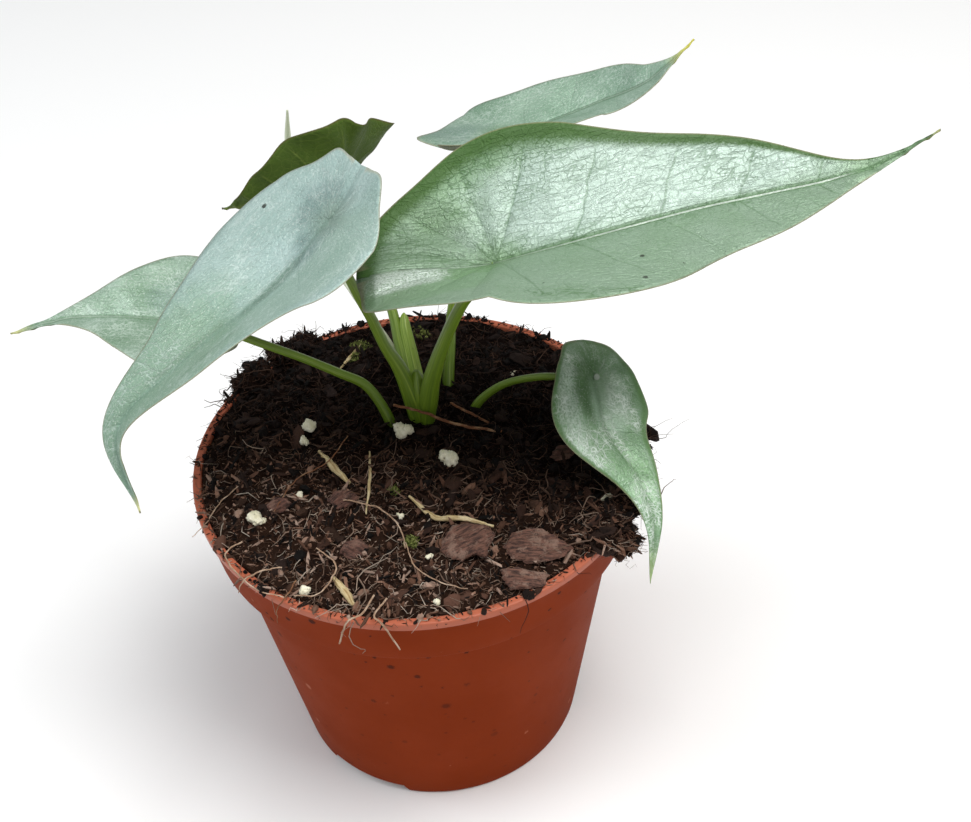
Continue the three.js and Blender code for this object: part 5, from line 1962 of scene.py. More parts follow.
def fibres_tree() -> NodeTree:
    """Geometry tree: bent fibres scattered over a surface, each with its own length, bend and tint.

    Returns:
        The tree. Its geometry is the surface, with the attribute density.
    """
    sockets = {
        "Surface": "Geometry", "Per Square Metre": 1e5, "Seed": 1, "Shortest": 0.003, "Longest": 0.014,
        "Thickness": 0.00016, "Bend": 0.35, "Lift": 0.35, "Steps": 8, "Tint Power": 1.3, "Finish": "Material"
    }
    graph, given, sink = new_tree("fibres", "GeometryNodeTree", sockets, {"Fibres": "Geometry"})
    density = graph.named("density") * given["Per Square Metre"]
    spread = graph.add(
        "GeometryNodeDistributePointsOnFaces",
        {"Mesh": given["Surface"], "Density": density, "Seed": given["Seed"]}
    )
    straight = graph.add(
        "GeometryNodeCurvePrimitiveLine", {"Start": (-0.5, 0.0, 0.0), "End": (0.5, 0.0, 0.0)}
    )[0]
    straight = graph.add("GeometryNodeResampleCurve", {"Curve": straight, "Count": given["Steps"]})[0]
    length = given["Shortest"] + graph.random(0.0, 1.0, 21) ** 2.0 * (given["Longest"] - given["Shortest"])
    copies = graph.add("GeometryNodeInstanceOnPoints", {"Points": spread["Points"], "Instance": straight})
    tilt = graph.random(-1.0, 1.0, 22) * given["Lift"]
    turn = graph.combine(0.0, tilt, graph.random(0.0, 6.2832, 23))
    graph.feed(copies, "Rotation", graph.add("FunctionNodeEulerToRotation", {0: turn})[0])
    graph.feed(copies, "Scale", graph.combine(length, length, length))
    marked = graph.store(copies[0], "size", length, domain="INSTANCE")
    tint = graph.random(0.0, 1.0, 24) ** given["Tint Power"]
    marked = graph.store(marked, "tint", tint * graph.named("pale_share"), domain="INSTANCE")
    marked = graph.store(marked, "girth", graph.random(0.45, 1.4, 25), domain="INSTANCE")
    marked = graph.store(
        marked, "start", graph.random((0.0, 0.0, 0.0), (90.0, 90.0, 90.0), 26, "FLOAT_VECTOR"),
        "FLOAT_VECTOR", "INSTANCE"
    )
    loose = graph.add("GeometryNodeRealizeInstances", {"Geometry": marked})[0]
    factor = graph.add("GeometryNodeSplineParameter")["Factor"]
    walk = graph.vector("ADD", graph.named("start", "FLOAT_VECTOR"), graph.combine(factor * 2.2, 0.0, 0.0))
    push = graph.vector("SUBTRACT", graph.noise(walk, 1.0, 1.5)["Color"], (0.5, 0.5, 0.5))
    push = graph.vector("MULTIPLY", push, (1.0, 1.0, 0.35))
    push = graph.vector("SCALE", push, scale=graph.named("size") * (given["Bend"] * 3.0))
    bent = graph.add("GeometryNodeSetPosition", {"Geometry": loose, "Offset": push})[0]
    taper = 1.15 - abs(factor * 1.6 - 0.8)
    girth = given["Thickness"] * graph.named("girth") * taper
    section = graph.add("GeometryNodeCurvePrimitiveCircle", {"Resolution": 3, "Radius": 1.0})[0]
    sweep = {"Curve": bent, "Profile Curve": section, "Scale": girth, "Fill Caps": True}
    tube = graph.add("GeometryNodeCurveToMesh", sweep)
    done = graph.add("GeometryNodeSetMaterial", {"Geometry": tube[0], "Material": given["Finish"]})
    graph.feed(sink, "Fibres", done[0])
    return graph.tree


@dataclass
class Soil:
    """The peat in the pot: a lumpy body, clods on the rim, crumbs, shreds, fibres and moss."""

    pot: Pot
    crown_z: float = 100.2
    edge_drop: float = 3.0
    edge_radius: float = 56.0
    rear_drop: float = 0.2
    rear_way: Pair = (0.6, 0.8)
    rear_span: Pair = (26.0, 58.0)
    rings: int = 72
    sides: int = 220
    gap: float = 0.3
    clear: float = 0.5
    clear_below: float = 0.6
    clear_above: float = 0.4
    high_z: float = 92.0
    low_z: float = 50.0
    sunk: float = 0.7
    clod_size: float = 3.5
    clod_sides: Sequence[tuple[float, float, int]] = ((-44, 2, 6), (114, 148, 5))
    hanging_clods: Sequence[Triple] = (
        (-37.5, 94.0, 3.2), (-34.0, 91.0, 2.0), (-41.5, 95.5, 2.2)
    )
    spills: Sequence[Triple] = ((-46, 6, 1.0), (24, 66, 0.8), (66, 152, 4.0), (192, 250, 1.0))
    # The soil's tints grow lighter along this way, towards the front left, and stay darker elsewhere.
    pale_way: Pair = (-0.4, -0.92)
    pale_span: Pair = (-14.0, 34.0)
    least_pale: float = 0.3
    moss_at: Sequence[Triple] = (
        (4.8, 50.5, 2.6), (-13.4, 46.5, 3.2), (-6.8, -16.1, 1.6), (-4.1, -34.7, 1.8), (-15, 42, 1.8))

    def top(self, x: float, y: float) -> float:
        """Height of the soil's surface: a low dome, lower towards the right rear, with lumps.

        Args:
            x: Place along X.
            y: Place along Y.

        Returns:
            The height.
        """
        dome = self.crown_z - self.edge_drop * (x * x + y * y) / self.edge_radius**2
        rear = float(smoothstep(self.rear_way[0] * x + self.rear_way[1] * y, *self.rear_span))
        lumps = 0.7 * math.sin(0.31 * x + 1.3) * math.sin(0.27 * y + 0.4)
        lumps += 0.5 * math.sin(0.71 * x - 0.5 * y) + 0.35 * math.sin(1.1 * x + 2.1) * math.sin(1.3 * y)
        return dome - self.rear_drop * rear + lumps

    def paleness(self, x: np.ndarray, y: np.ndarray) -> np.ndarray:
        """How pale the soil's tint is: lighter at the front left, darker elsewhere."""
        way = self.pale_way[0] * x + self.pale_way[1] * y
        return self.least_pale + (1 - self.least_pale) * smoothstep(way, *self.pale_span)

    def surface(self) -> tuple[np.ndarray, list[Face]]:
        """The top of the soil as a polar grid.

        Returns:
            Its places and faces, the middle point first.
        """
        reach = self.pot.inner_radius(self.pot.height) - self.clear_above
        places = [(0.0, 0.0, self.top(0, 0) - self.sunk)]
        for k in range(1, self.rings + 1):
            for i in range(self.sides):
                angle = 2 * math.pi * i / self.sides
                r = reach * k / self.rings
                x, y = r * math.cos(angle), r * math.sin(angle)
                rough = 1.3 * fractal(x, y, 3, 7) + 0.7 * fractal(x, y, 9, 2.4, 4)
                edge = float(smoothstep(r, reach - 5, reach))
                z = self.top(x, y) - self.sunk * (1 - edge) + rough
                places.append((x, y, z * (1 - edge) + min(z, self.pot.height + 0.1) * edge))
        faces: list[Face] = []
        for k in range(self.rings):
            for i in range(self.sides):
                after = (i + 1) % self.sides
                if k == 0:
                    faces.append((0, 1 + i, 1 + after))
                    continue
                inner, outer = 1 + (k - 1) * self.sides, 1 + k * self.sides
                faces.append((inner + i, outer + i, outer + after, inner + after))
        return np.array(places), faces

    def body(self, finish: Material) -> Object:
        """The soil as one closed body down to the pot's floor.

        Args:
            finish: Its material.

        Returns:
            The body.
        """
        places, faces = self.surface()
        inner = self.pot.inner_radius
        ledge = self.pot.band_foot + self.pot.wall
        roof = self.pot.channel_height + self.pot.wall + self.gap
        section = [
            (inner(self.high_z) - self.clear, self.high_z), (inner(ledge) - self.clear, ledge + self.gap),
            (inner(self.pot.band_foot) - self.clear, self.pot.band_foot + self.gap),
            (inner(self.low_z) - self.clear, self.low_z), (inner(roof) - self.clear_below, roof)
        ]
        angles = [2 * math.pi * i / self.sides for i in range(self.sides)]
        last = len(places) - self.sides
        extra = []
        for r, z in section:
            extra += [(r * math.cos(a), r * math.sin(a), z) for a in angles]
        first = len(places)
        starts = [last, *(first + k * self.sides for k in range(len(section)))]
        for upper, lower in zip(starts, starts[1:]):
            faces += [(upper + i, lower + i, lower + (i + 1) % self.sides, upper + (i + 1) % self.sides)
                      for i in range(self.sides)]
        extra.append((0.0, 0.0, section[-1][1]))
        middle = first + len(extra) - 1
        faces += [(middle, starts[-1] + (i + 1) % self.sides, starts[-1] + i) for i in range(self.sides)]
        spots = np.vstack([places, np.array(extra)])
        mesh = mesh_from("soil_body", spots, faces)
        add_attribute(mesh, "tint", 0.3 * self.paleness(spots[:, 0], spots[:, 1]))
        return finished(mesh, finish)

    def clod(
        self, place: Point, size: Point, phase: float, hangs: bool
    ) -> tuple[np.ndarray, list[list[int]]]:
        """One crumbly clod that rests on the rim or hangs on its outside.

        Args:
            place: Its middle.
            size: Its half sizes.
            phase: What makes its shape its own.
            hangs: Whether it hangs outside the rim.

        Returns:
            Its places and faces.
        """
        work = bmesh.new()
        bmesh.ops.create_icosphere(work, subdivisions=3, radius=1.0)
        rim_hole = self.pot.inner_radius(self.pot.height - self.clod_size) - self.gap
        places = []
        for vertex in work.verts:
            x, y, z = vertex.co
            push = 1 + 0.55 * fractal(x * 9 + 50 * phase, y * 9, z * 9, 5, 5)
            spot = [place[k] + size[k] * push * (x, y, z)[k] for k in range(3)]
            reach = math.hypot(spot[0], spot[1])
            if hangs and reach < self.pot.rim_radius + 0.05 and spot[2] < self.pot.height:
                spot[0] *= (self.pot.rim_radius + 0.05) / reach
                spot[1] *= (self.pot.rim_radius + 0.05) / reach
            elif not hangs and reach > rim_hole:
                spot[2] = max(spot[2], self.pot.height + 0.1)
            places.append(spot)
        faces = [[v.index for v in f.verts] for f in work.faces]
        work.free()
        return np.array(places), faces

    def clods(self, finish: Material) -> Object:
        """The clods on the rim at the right and at the rear left, and a few that hang outside it.

        Args:
            finish: Their material.

        Returns:
            The clods as one object.
        """
        draw = seeded(7)
        rows = []
        for start, end, count in self.clod_sides:
            for k in range(count):
                angle = math.radians(start + (end - start) * (k + draw()) / count)
                size = self.clod_size * (0.75 + 0.5 * draw())
                r = self.pot.inner_radius(self.pot.height) - 0.6 + 1.8 * draw()
                rows.append((angle, r, self.pot.height + 0.25 * size, size, draw(), False))
        for turn, z, size in self.hanging_clods:
            rows.append((math.radians(turn), self.pot.rim_radius + 0.75 * size, z, size, draw(), True))
        places, faces = [], []
        for angle, r, z, size, phase, hangs in rows:
            place = (r * math.cos(angle), r * math.sin(angle), z)
            spots, sides = self.clod(place, (size, size, 0.8 * size), phase, hangs)
            first = sum(len(p) for p in places)
            places.append(spots)
            faces += [[v + first for v in face] for face in sides]
        mesh = mesh_from("soil_clods", np.vstack(places), faces)
        add_attribute(mesh, "tint", np.full(len(mesh.vertices), 0.22))
        return finished(mesh, finish)

    def spill_strip(self) -> tuple[np.ndarray, list[Face], np.ndarray]:
        """The top of the rim, where soil has spilled onto it.

        Returns:
            Its places, its faces and how much soil lies at each place.
        """
        inner, outer = self.pot.inner_radius(self.pot.height) + 0.2, self.pot.rim_radius - 0.3
        places, amount = [], []
        for i in range(self.sides):
            degrees = 360 * i / self.sides
            angle = math.radians(degrees)
            there = 0.1
            for start, end, much in self.spills:
                off = (degrees - start) % 360
                if off < end - start:
                    there = max(there, 0.3 + 1.6 * much * abs(fractal(degrees, start, 0, 9, 2)))
            for r, least in ((inner, 0.9 + abs(fractal(degrees, 0, 5, 7, 3))), (outer, 0.0)):
                places.append((r * math.cos(angle), r * math.sin(angle), self.pot.height + 0.15))
                amount.append(max(there, least))
        faces = [(2 * i, 2 * i + 1, (2 * i + 3) % (2 * self.sides), (2 * i + 2) % (2 * self.sides))
                 for i in range(self.sides)]
        return np.array(places), faces, np.array(amount)

    def bed(self, clods: Object) -> Mesh:
        """The surface that crumbs and fibres are scattered over, with how densely they lie.

        Args:
            clods: The clods, whose upper sides belong to it.

        Returns:
            The surface with the attributes density and dry.
        """
        places, faces = self.surface()
        shape = clods.data
        spots = np.zeros(len(shape.vertices) * 3, np.float32)
        shape.vertices.foreach_get("co", spots)
        spots = spots.reshape(-1, 3) / MM
        faces += [tuple(v + len(places) for v in face.vertices) for face in shape.polygons]
        strip, strip_faces, amount = self.spill_strip()
        first = len(places) + len(spots)
        faces += [tuple(v + first for v in face) for face in strip_faces]
        everything = np.vstack([places, spots, strip])
        mesh = mesh_from("soil_bed", everything, faces)
        shown = np.hypot(spots[:, 0], spots[:, 1]) > self.pot.rim_radius
        density = np.concatenate(
            [np.ones(len(places)), np.where((spots[:, 2] > self.pot.height + 0.8) | shown, 1.3, 0.0), amount]
        )
        add_attribute(mesh, "density", density)
        add_attribute(mesh, "pale_share", self.paleness(everything[:, 0], everything[:, 1]))
        return mesh

    def moss_bed(self) -> Mesh:
        """Small round patches on the soil where moss grows.

        Returns:
            The patches with the attributes density and dry.
        """
        places, faces = [], []
        count = 12
        for x, y, size in self.moss_at:
            first = len(places)
            places.append((x, y, self.top(x, y) + 0.8))
            for i in range(count):
                angle = 2 * math.pi * i / count
                spot = (x + size * math.cos(angle), y + size * math.sin(angle))
                places.append((*spot, self.top(*spot) - 0.5))
            faces += [(first, first + 1 + i, first + 1 + (i + 1) % count) for i in range(count)]
        mesh = mesh_from("moss_bed", np.array(places), faces)
        add_attribute(mesh, "density", np.ones(len(mesh.vertices)))
        add_attribute(mesh, "pale_share", np.ones(len(mesh.vertices)))
        return mesh

    def layers(self, effects: Effects, bed: Mesh) -> list[Object]:
        """What is scattered over the soil, each layer as one object.

        Args:
            effects: The shared shader groups.
            bed: The surface that it lies on.

        Returns:
            The layers.
        """
        peat = TintFinish("peat crumbs", SOIL_TINTS, gloss=0.95, grain_size=1.1, depth=0.4).material(effects)
        fibre = TintFinish("peat fibre", FIBRE_TINTS, gloss=0.75, grain_size=0.8).material(effects)
        thread = TintFinish("peat thread", THREAD_TINTS, gloss=0.8, grain_size=0.8).material(effects)
        bark = TintFinish(
            "bark bits", ("#1a0f0b", "#3f281e", "#6b4a3c"), gloss=0.85, depth=0.3
        ).material(effects)
        moss = TintFinish("moss", MOSS_TINTS, gloss=0.7).material(effects)
        crumbs, fibres = crumbs_tree(), fibres_tree()
        crumb_ends, fibre_ends = ("Smallest", "Largest"), ("Shortest", "Longest")
        rows: list[tuple[str, Mesh, Material, float, int, Pair, dict[str, Any]]] = [
            ("soil_crumbs", bed, peat, 7.6e4, 3, (0.4, 1.6),
             {"Tilt": 1.0, "Flatness": 0.7, "Stretch": 1.2, "Tint Power": 1.3}),
            ("soil_shreds", bed, peat, 4.3e5, 9, (0.16, 0.75),
             {"Tilt": 0.9, "Flatness": 0.4, "Stretch": 4.6, "Detail": 1, "Dents": 1.4, "Tint Power": 1.0}),
            ("soil_dust", bed, peat, 2.3e5, 4, (0.2, 0.7), {"Detail": 1, "Tint Power": 1.15}),
            ("bark_bits", bed, bark, 1.3e4, 14, (0.9, 2.6),
             {"Tilt": 0.5, "Flatness": 0.3, "Stretch": 1.7, "Dents": 1.1, "Tint Power": 1.0}),
            ("soil_fibres", bed, fibre, 1.5e5, 5, (3, 12),
             {"Thickness": 0.12 * MM, "Lift": 0.4, "Bend": 0.45, "Tint Power": 0.9}),
            ("soil_threads", bed, thread, 3.4e5, 15, (1.5, 5),
             {"Thickness": 0.11 * MM, "Lift": 0.55, "Bend": 0.4, "Steps": 5, "Tint Power": 1.0}),
            ("soil_rootlets", bed, fibre, 1.3e4, 8, (9, 24),
             {"Thickness": 0.16 * MM, "Bend": 0.34, "Lift": 0.1, "Steps": 18, "Tint Power": 0.6}),
            ("soil_moss", self.moss_bed(), moss, 7e6, 6, (0.7, 2.2),
             {"Thickness": 0.2 * MM, "Lift": 1.5, "Steps": 4}),
        ]
        pieces = []
        for name, host, finish, density, seed, (least, most), more in rows:
            hairy = "Thickness" in more
            low, high = fibre_ends if hairy else crumb_ends
            values = {"Per Square Metre": density, "Seed": seed, low: least * MM, high: most * MM}
            values.update(more, Finish=finish)
            piece = grown(name, host.copy(), fibres if hairy else crumbs, values)
            smooth(piece.data, hairy)
            pieces.append(piece)
        return pieces

    def build(self, effects: Effects) -> list[Object]:
        """Builds the soil.

        Args:
            effects: The shared shader groups.

        Returns:
            The finished pieces.
        """
        peat = TintFinish(
            "peat", SOIL_TINTS, gloss=1.0, shine=0.05, grain_size=1.3, depth=0.6
        ).material(effects)
        body, clods = self.body(peat), self.clods(peat)
        settle(body, Slot.SOIL, ["soil"])
        pieces = [clods, *self.layers(effects, self.bed(clods))]
        for piece in pieces:
            settle(piece, Slot.SOIL)
        return [body, *pieces]


def node_box(node: str) -> tuple[np.ndarray, np.ndarray]:
    """The middle and the half sizes of a CAD node, in millimetres."""
    low, high = (np.array(corner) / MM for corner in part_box(node))
    return (low + high) / 2, (high - low) / 2


@dataclass
class Perlite:
    """White popped grains on the soil, one for each node."""

    finish: PerliteFinish
    count: int = 13
    lobes: int = 5
    skipped_draws: int = 4
    least_reach: float = 0.42

    def grain(self, number: int, finish: Material) -> Object:
        """One grain: two or three lobes grown together, with rounded bubbles and pits.

        Args:
            number: Which grain, from 1.
            finish: Its material.

        Returns:
            The finished piece.
        """
        node = f"perlite_{number}"
        middle, half = node_box(node)
        draw = seeded(31 * number)
        for _ in range(self.skipped_draws):
            draw()
        lobes = []
        for _ in range(self.lobes):
            way = Vector((draw() - 0.5, draw() - 0.5, 0.6 * (draw() - 0.5))).normalized()
            lobes.append((way * (0.3 + 0.35 * draw()), 0.34 + 0.3 * draw()))
        work = bmesh.new()
        bmesh.ops.create_icosphere(work, subdivisions=4, radius=1.0)
        spots = np.zeros((len(work.verts), 3))
        for vertex in work.verts:
            way = vertex.co.normalized()
            reach = 0.0
            for place, size in lobes:
                along = way.dot(place)
                inside = size * size - (place.length_squared - along * along)
                if inside > 0:
                    reach = max(reach, along + math.sqrt(inside))
            reach = max(reach, self.least_reach)
            cells, _ = noise.voronoi(way * 3 + Vector((7.3 * number, 0, 0)))
            reach *= 1 + 0.3 * (cells[1] - cells[0]) - 0.22 * noise.noise(way * 4 + Vector((0, number, 0)))
            spots[vertex.index] = way * reach
        low, high = spots.min(0), spots.max(0)
        spots = (spots - (low + high) / 2) / ((high - low) / 2) * half * 1.02 + middle
        for vertex in work.verts:
            vertex.co = Vector(spots[vertex.index] * MM)
        mesh = bpy.data.meshes.new(f"perlite_grain_{number}")
        work.to_mesh(mesh)
        work.free()
        return settle(finished(mesh, finish), Slot.PERLITE, [node])

    def build(self, effects: Effects) -> list[Object]:
        """Builds all grains."""
        white = self.finish.material(effects)
        return [self.grain(number, white) for number in range(1, self.count + 1)]


CHIP_OUTLINES: Sequence[Sequence[Pair]] = (
    ((-8.5, 0.1), (-6, 4.4), (-1.2, 5.6), (3, 3.6), (8.5, -2.4), (4.5, -4.9), (-2.5, -5.6), (-7.4, -2.8)),
    ((-6.1, 1.9), (-3.4, 5.4), (1.1, 5.8), (5.4, 4.4), (7.2, 0.8), (5, -2.3), (4.3, -5.8), (0.8, -4),
     (-1.8, -5.8), (-5.2, -4.2), (-7, -1.4)),
    ((-5.8, 3), (-2, 3.4), (1.4, 1.9), (5.8, 0.3), (4.4, -3), (0, -3.4), (-3.9, -2.9), (-5.4, -0.1)),
    ((-3.3, 0.4), (-0.7, 2.6), (2.4, 2), (3.3, 0.2), (1.2, -2.4), (-1.9, -2.6)),
    ((-3.9, -0.8), (-1.7, 2.4), (2.5, 2.2), (3.9, 1), (1.2, -2.2), (-2.7, -2.4)),
    ((-4.2, -0.6), (-2.4, 2.9), (1.6, 3.2), (4.2, -0.2), (3.3, -3), (-1.2, -3.2)),
    ((-4, 0.2), (-1.9, 3), (1.9, 2.6), (4, 0.2), (1.6, -2.6), (-1.9, -3))
)


@dataclass
class BarkChips:
    """Bark chips on the soil: broken slabs with ragged edges, layers and long ridges."""

    finish: WoodyFinish
    small_finish: WoodyFinish
    large: int = 3
    tilt: float = 7.0
    turns: Sequence[float] = (-12, 25, -14, 20, 5, -30, 40)
    thicknesses: Sequence[float] = (2.6, 2.2, 1.7, 1.2, 1.2, 1.3, 1.2)
    columns: int = 96
    rows: int = 13

    def edge(self, number: int) -> np.ndarray:
        """The chip's outline, ragged between its corners.

        Args:
            number: Which chip, from 1.

        Returns:
            Its points, seen from above.
        """
        corners = np.array(CHIP_OUTLINES[number - 1], float)[::-1]
        closed = np.vstack([corners, corners[:1]])
        length = np.concatenate([[0], np.cumsum(np.linalg.norm(np.diff(closed, axis=0), axis=1))])
        run = np.linspace(0, length[-1], self.columns, endpoint=False)
        line = np.stack([np.interp(run, length, closed[:, k]) for k in range(2)], 1)
        ragged = [1 + 0.09 * fractal(x * 1.3 + 20 * number, y * 1.3, 0, 1.6, 4) for x, y in line]
        return line * np.array(ragged)[:, None]

    def chip(self, number: int, finish: Material) -> Object:
        """One chip: a layered upper face and a flat lower one, joined round a broken edge.

        Args:
            number: Which chip, from 1.
            finish: Its material.

        Returns:
            The finished piece.
        """
        node = f"bark_{number}"
        middle, _ = node_box(node)
        thick = self.thicknesses[number - 1]
        turn = math.radians(self.turns[number - 1])
        edge = self.edge(number)
        places, grain, faces = [], [], []
        for face in (1, -1):
            for j in range(self.rows + 1):
                share = (j / self.rows) ** 0.8
                for x, y in edge * share:
                    run = x * math.cos(turn) + y * math.sin(turn)
                    side = y * math.cos(turn) - x * math.sin(turn)
                    ridges = fractal(run * 0.22 + 30 * number, side * 1.5, 2 * face, 1.1, 5)
                    level = 1.6 * fractal(run * 0.5, side * 0.8, 5 + number, 3.2, 2) + 0.25 * ridges
                    plates = 0.45 * (math.floor(level * 2.2) + min(1, 3 * (level * 2.2 % 1)))
                    dome = 0.5 * thick * (1 - share**8)
                    rough = (0.3 * ridges + 0.4 * plates) * (1 - share**10)
                    z = face * dome + rough * (1 if face > 0 else 0.4)
                    places.append((x, y, z * (1 if face > 0 else 0.8)))
                    grain.append((run + 40 * number, side, z))
        ring = self.columns
        sheet = (self.rows + 1) * ring
        for k, first in enumerate((0, sheet)):
            for j in range(self.rows):
                for i in range(ring):
                    a, b = first + j * ring + i, first + j * ring + (i + 1) % ring
                    quad = [a, a + ring, b + ring, b]
                    faces.append(quad if k == 0 else quad[::-1])
        rim = self.rows * ring
        faces += [
            [rim + i, sheet + rim + i, sheet + rim + (i + 1) % ring, rim + (i + 1) % ring]
            for i in range(ring)
        ]
        spots = np.array(places) @ np.array(Matrix.Rotation(math.radians(self.tilt), 3, "X")).T + middle
        mesh = mesh_from(f"bark_chip_{number}", spots, faces)
        add_attribute(mesh, "grain", np.array(grain))
        weld(mesh, 5e-6)
        work = bmesh.new()
        work.from_mesh(mesh)
        bmesh.ops.recalc_face_normals(work, faces=work.faces)
        work.to_mesh(mesh)
        work.free()
        smooth(mesh)
        mesh.set_sharp_from_angle(angle=math.radians(50))
        mesh.materials.append(finish)
        return settle(new_object(mesh.name, mesh), Slot.BARK, [node])

    def build(self, effects: Effects) -> list[Object]:
        """Builds all chips."""
        brown, dark = self.finish.material(effects), self.small_finish.material(effects)
        return [self.chip(number, brown if number <= self.large else dark)
                for number in range(1, len(self.turns) + 1)]


@dataclass
class Litter:
    """Straws, twigs and the two roots over the rim, each along its solid's route, and loose strands."""

    soil: Soil
    straw_finish: WoodyFinish
    twig_finish: WoodyFinish
    root_finish: WoodyFinish
    straw_radii: Sequence[float] = (1.25, 1.2, 0.9, 0.6, 0.5)
    root_radius: float = 0.5
    straws: Sequence[Sequence[Pair]] = (
        ((-26, 1.6), (-22.5, -5), (-18.4, -12.3)), ((-23.6, -43), (-21, -48), (-19, -51.8)),
        ((-3.3, -20.9), (2.5, -27.5), (9, -30.2), (17, -33)), ((-19.5, 36.5), (-16.5, 42), (-13, 48)),
        ((-12.6, -1), (-13, -12), (-14.5, -25))
    )
    twigs: Sequence[Sequence[StemPoint]] = (
        ((-5, 6.6, 108.5, 0.7), (3, 5, 106, 0.7), (12, 3.4, 101.8, 0.8), (23, 1, 100, 0.7)),
        ((10.5, 14, 100.6, 0.6), (15, 9.5, 100.5, 0.7), (20, 5, 100, 0.6))
    )
    roots: Sequence[Sequence[Pair]] = (
        ((-14, -50.5), (-17, -56.4), (-20.6, -57.7), (-24, -57.6)),
        ((-11, -52), (-14.2, -57.4), (-12.2, -59.6), (-9, -59.6))
    )
    root_heights: Triple = (99.2, 98.5, 89.5)
    rusty: Sequence[int] = (4, 7)
    strands: Sequence[Sequence[StemPoint]] = (
        ((-46, -28, 98.7, 0.3), (-50, -31, 98.4, 0.3), (-47.5, -37.5, 98, 0.28), (-42, -43.8, 97.7, 0.25),
         (-35.5, -47.6, 98.1, 0.2)),
        ((-36, -38.8, 99.2, 0.28), (-41, -39.6, 99.8, 0.28), (-45.6, -40.4, 97.7, 0.25),
         (-47.6, -39.8, 93, 0.15)),
        ((-27.4, -33.9, 99.6, 0.25), (-22.7, -41.2, 99.9, 0.3), (-27.2, -48.1, 98.6, 0.25),
         (-33.2, -47.8, 98.6, 0.2)),
        ((-5.3, -35.9, 100.2, 0.22), (-3.6, -44, 100.1, 0.25), (2, -49.5, 99.4, 0.22),
         (8.5, -52, 98.7, 0.18)),
        ((-32.5, -43.5, 99.2, 0.25), (-35.2, -48.2, 98.4, 0.25), (-37.5, -49.3, 96, 0.2),
         (-38.2, -49.2, 91, 0.12)),
        ((-20, -20, 101.4, 0.25), (-12, -24, 101.9, 0.28), (-6.5, -31, 101.2, 0.25),
         (-5.5, -38, 100.3, 0.2)),
        ((-47.5, -8, 98.9, 0.2), (-52, -13, 98.8, 0.22), (-55.5, -19.5, 98.1, 0.2),
         (-59.2, -22.3, 96.6, 0.15)),
        ((-18, 4, 101.6, 0.22), (-24, -6, 101.8, 0.25), (-32, -10, 100.9, 0.22), (-38, -20, 100, 0.18))
    )

    def straw_line(self, route: Sequence[Pair], radius: float) -> list[StemPoint]:
        """A straw half sunk in the soil, thin at its ends."""
        ends = (0, len(route) - 1)
        return [(x, y, self.soil.top(x, y) + 0.5, 0.45 * radius if k in ends else radius)
                for k, (x, y) in enumerate(route)]

    def root_line(self, route: Sequence[Pair]) -> list[StemPoint]:
        """A root that hangs over the front of the rim.

        Args:
            route: Its four places seen from above.

        Returns:
            Its points.
        """
        inside, edge, over, end = route
        reach = self.soil.pot.rim_radius + self.root_radius + 2.5 * self.soil.gap
        thick = self.root_radius
        line = [(*inside, self.soil.top(*inside) + 0.6, thick), (*edge, self.root_heights[0], thick)]
        for (x, y), z, r in zip((over, end), self.root_heights[1:], (thick, 0.8 * thick)):
            out = reach / math.hypot(x, y)
            line.append((x * out, y * out, z, r))
        return line

    def build(self, effects: Effects, tree: NodeTree) -> list[Object]:
        """Builds the straws, twigs and roots.

        Args:
            effects: The shared shader groups.
            tree: The stem tree.

        Returns:
            The finished pieces.
        """
        straw, twig, root = (
            f.material(effects) for f in (self.straw_finish, self.twig_finish, self.root_finish)
        )
        pieces = []
        straws = [self.straw_line(route, radius) for route, radius in zip(self.straws, self.straw_radii)]
        rows = [
            ("straw", Slot.STRAW, straw, straws, 0.15, 0.8),
            ("twig", Slot.TWIG, twig, list(self.twigs), 0.2, 0.55),
            ("rim_root", Slot.STRAW, root, [self.root_line(route) for route in self.roots], 0.12, 0.5)
        ]
        for kind, slot, finish, lines, wobble, slim in rows:
            for number, line in enumerate(lines, 1):
                stem = Stem(f"loose_{kind}_{number}", line, 48, 14, 4, 0.08, wobble, slim)
                pieces.append(settle(stem.build(tree, finish), slot, [f"{kind}_{number}"]))
        hairs = [
            Stem(
                f"strand_{k}", line, 40, 6, 2, 0.05, 0.3, 0.72
            ).build(tree, twig if k in self.rusty else root)
            for k, line in enumerate(self.strands)
        ]
        pieces.append(settle(join("loose_strands", hairs), Slot.STRAW))
        return pieces


# Studio


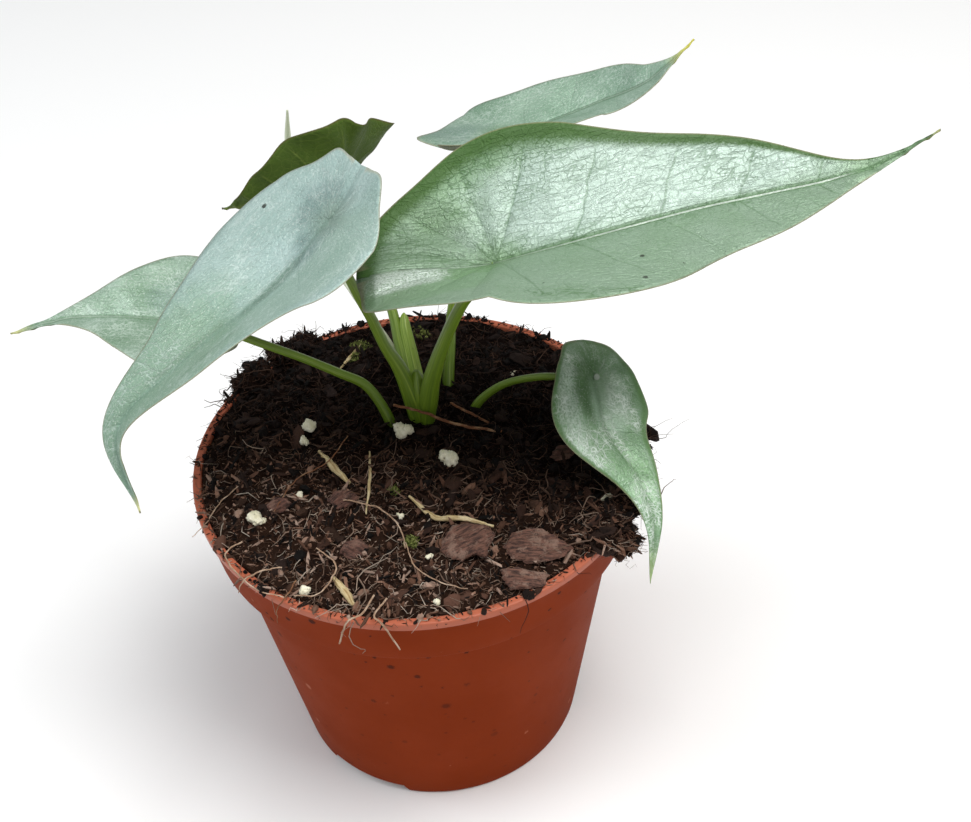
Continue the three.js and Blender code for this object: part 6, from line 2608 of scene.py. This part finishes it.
@dataclass
class Studio:
    """The floor, the lights, the world and the camera."""

    floor_size: float = 4.0
    camera_at: Point = (0.0, -0.27588, 0.35247)
    camera_right: Point = (0.99296352, -0.10904866, -0.04617184)
    camera_up: Point = (0.10665977, 0.65416883, 0.74879025)
    focal_pixels: float = 1400.0
    sensor: float = 36.0
    world_strength: float = 0.36

    def floor(self) -> None:
        """A plain pale floor."""
        half = self.floor_size / 2 / MM
        corners = np.array([(-half, -half, 0), (half, -half, 0), (half, half, 0), (-half, half, 0)], float)
        mesh = mesh_from("studio_floor", corners, [(0, 1, 2, 3)])
        mesh.materials.append(FloorFinish().material())
        new_object("studio_floor", mesh)

    def light(self, name: str, place: Point, aim: Point, size: float, power: float, tint: Point) -> None:
        """A soft square light.

        Args:
            name: The light's name.
            place: Where it is, in metres.
            aim: What it points at.
            size: Its side.
            power: Its power in watts.
            tint: Its colour.
        """
        data = bpy.data.lights.new(name, "AREA")
        data.size = size
        data.energy = power
        data.color = tint
        lamp = bpy.data.objects.new(name, data)
        bpy.context.scene.collection.objects.link(lamp)
        way = Vector(aim) - Vector(place)
        lamp.matrix_world = Matrix.Translation(place) @ way.to_track_quat("-Z", "Y").to_matrix().to_4x4()

    def lights(self) -> None:
        """A broad light overhead, a cooler one from the left and a weak one from the front."""
        self.light("overhead", (0.25, -0.13, 1.15), (0.03, 0.0, 0.12), 0.6, 11.0, (1.0, 0.99, 0.97))
        self.light("left", (-0.95, 0.1, 0.75), (0.0, 0.0, 0.12), 0.6, 3.6, (0.86, 0.94, 1.0))
        self.light("front", (0.35, -1.1, 0.9), (0.0, 0.0, 0.1), 0.8, 2.0, (1.0, 1.0, 1.0))

    def world(self) -> None:
        """An even white surround."""
        world = bpy.data.worlds.new("studio")
        world.use_nodes = True
        surround = world.node_tree.nodes["Background"]
        surround.inputs["Color"].default_value = (1.0, 1.0, 1.0, 1.0)
        surround.inputs["Strength"].default_value = self.world_strength
        bpy.context.scene.world = world

    def camera(self) -> None:
        """The camera at the photo's viewing angle."""
        data = bpy.data.cameras.new("camera")
        data.sensor_width = self.sensor
        data.lens = self.sensor * self.focal_pixels / IMAGE_WIDTH
        data.clip_start = 0.01
        eye = bpy.data.objects.new("camera", data)
        bpy.context.scene.collection.objects.link(eye)
        right, up = Vector(self.camera_right), Vector(self.camera_up)
        turn = Matrix((right, up, right.cross(up))).transposed().to_4x4()
        eye.matrix_world = Matrix.Translation(self.camera_at) @ turn
        bpy.context.scene.camera = eye

    def build(self) -> None:
        """Sets the studio up."""
        bpy.context.scene.view_settings.view_transform = "Standard"
        self.floor()
        self.lights()
        self.world()
        self.camera()


def main() -> None:
    """Builds the plant, its pot and the studio."""
    logging.basicConfig(level=logging.INFO, format="%(name)s %(message)s")
    Studio().build()
    effects = Effects()
    stems = stem_tree()
    pot = Pot(PotFinish())
    pot.build(effects)
    soil = Soil(pot)
    soil.build(effects)
    Shoots(
        StalkFinish("stalk green"),
        StalkFinish("sheath", foot="#5a7418", green="#7f9a2c", furrow="#5a7418", ridge="#c3cf7c"),
        StalkFinish("young leaf", foot="#a5ae78", green="#d2d8bd", furrow="#b9c29a", ridge="#f0f2e2")
    ).build(effects, stems)
    finishes = leaf_finishes()
    for leaf in leaf_blades():
        leaf.build(finishes[leaf.name].material(effects))
    Perlite(PerliteFinish()).build(effects)
    BarkChips(
        WoodyFinish("bark", "#6d493b", "#311d17", "#8a7062"),
        WoodyFinish("dark bark", "#5f3c30", "#26140f", "#7e5f52")
    ).build(effects)
    Litter(
        soil, WoodyFinish("straw", "#cdb98c", "#8f7448", "#e2d5b0", run=(0.3, 2.5, 2.5), depth=0.12),
        WoodyFinish("twig", "#85522f", "#4b2a17", "#a98a6a", run=(0.6, 2.2, 2.2), depth=0.15),
        WoodyFinish("root", "#b39478", "#7c5d49", "#d8c3ae", run=(0.5, 2.0, 2.0), depth=0.1)
    ).build(effects, stems)


if __name__ == "__main__":
    main()
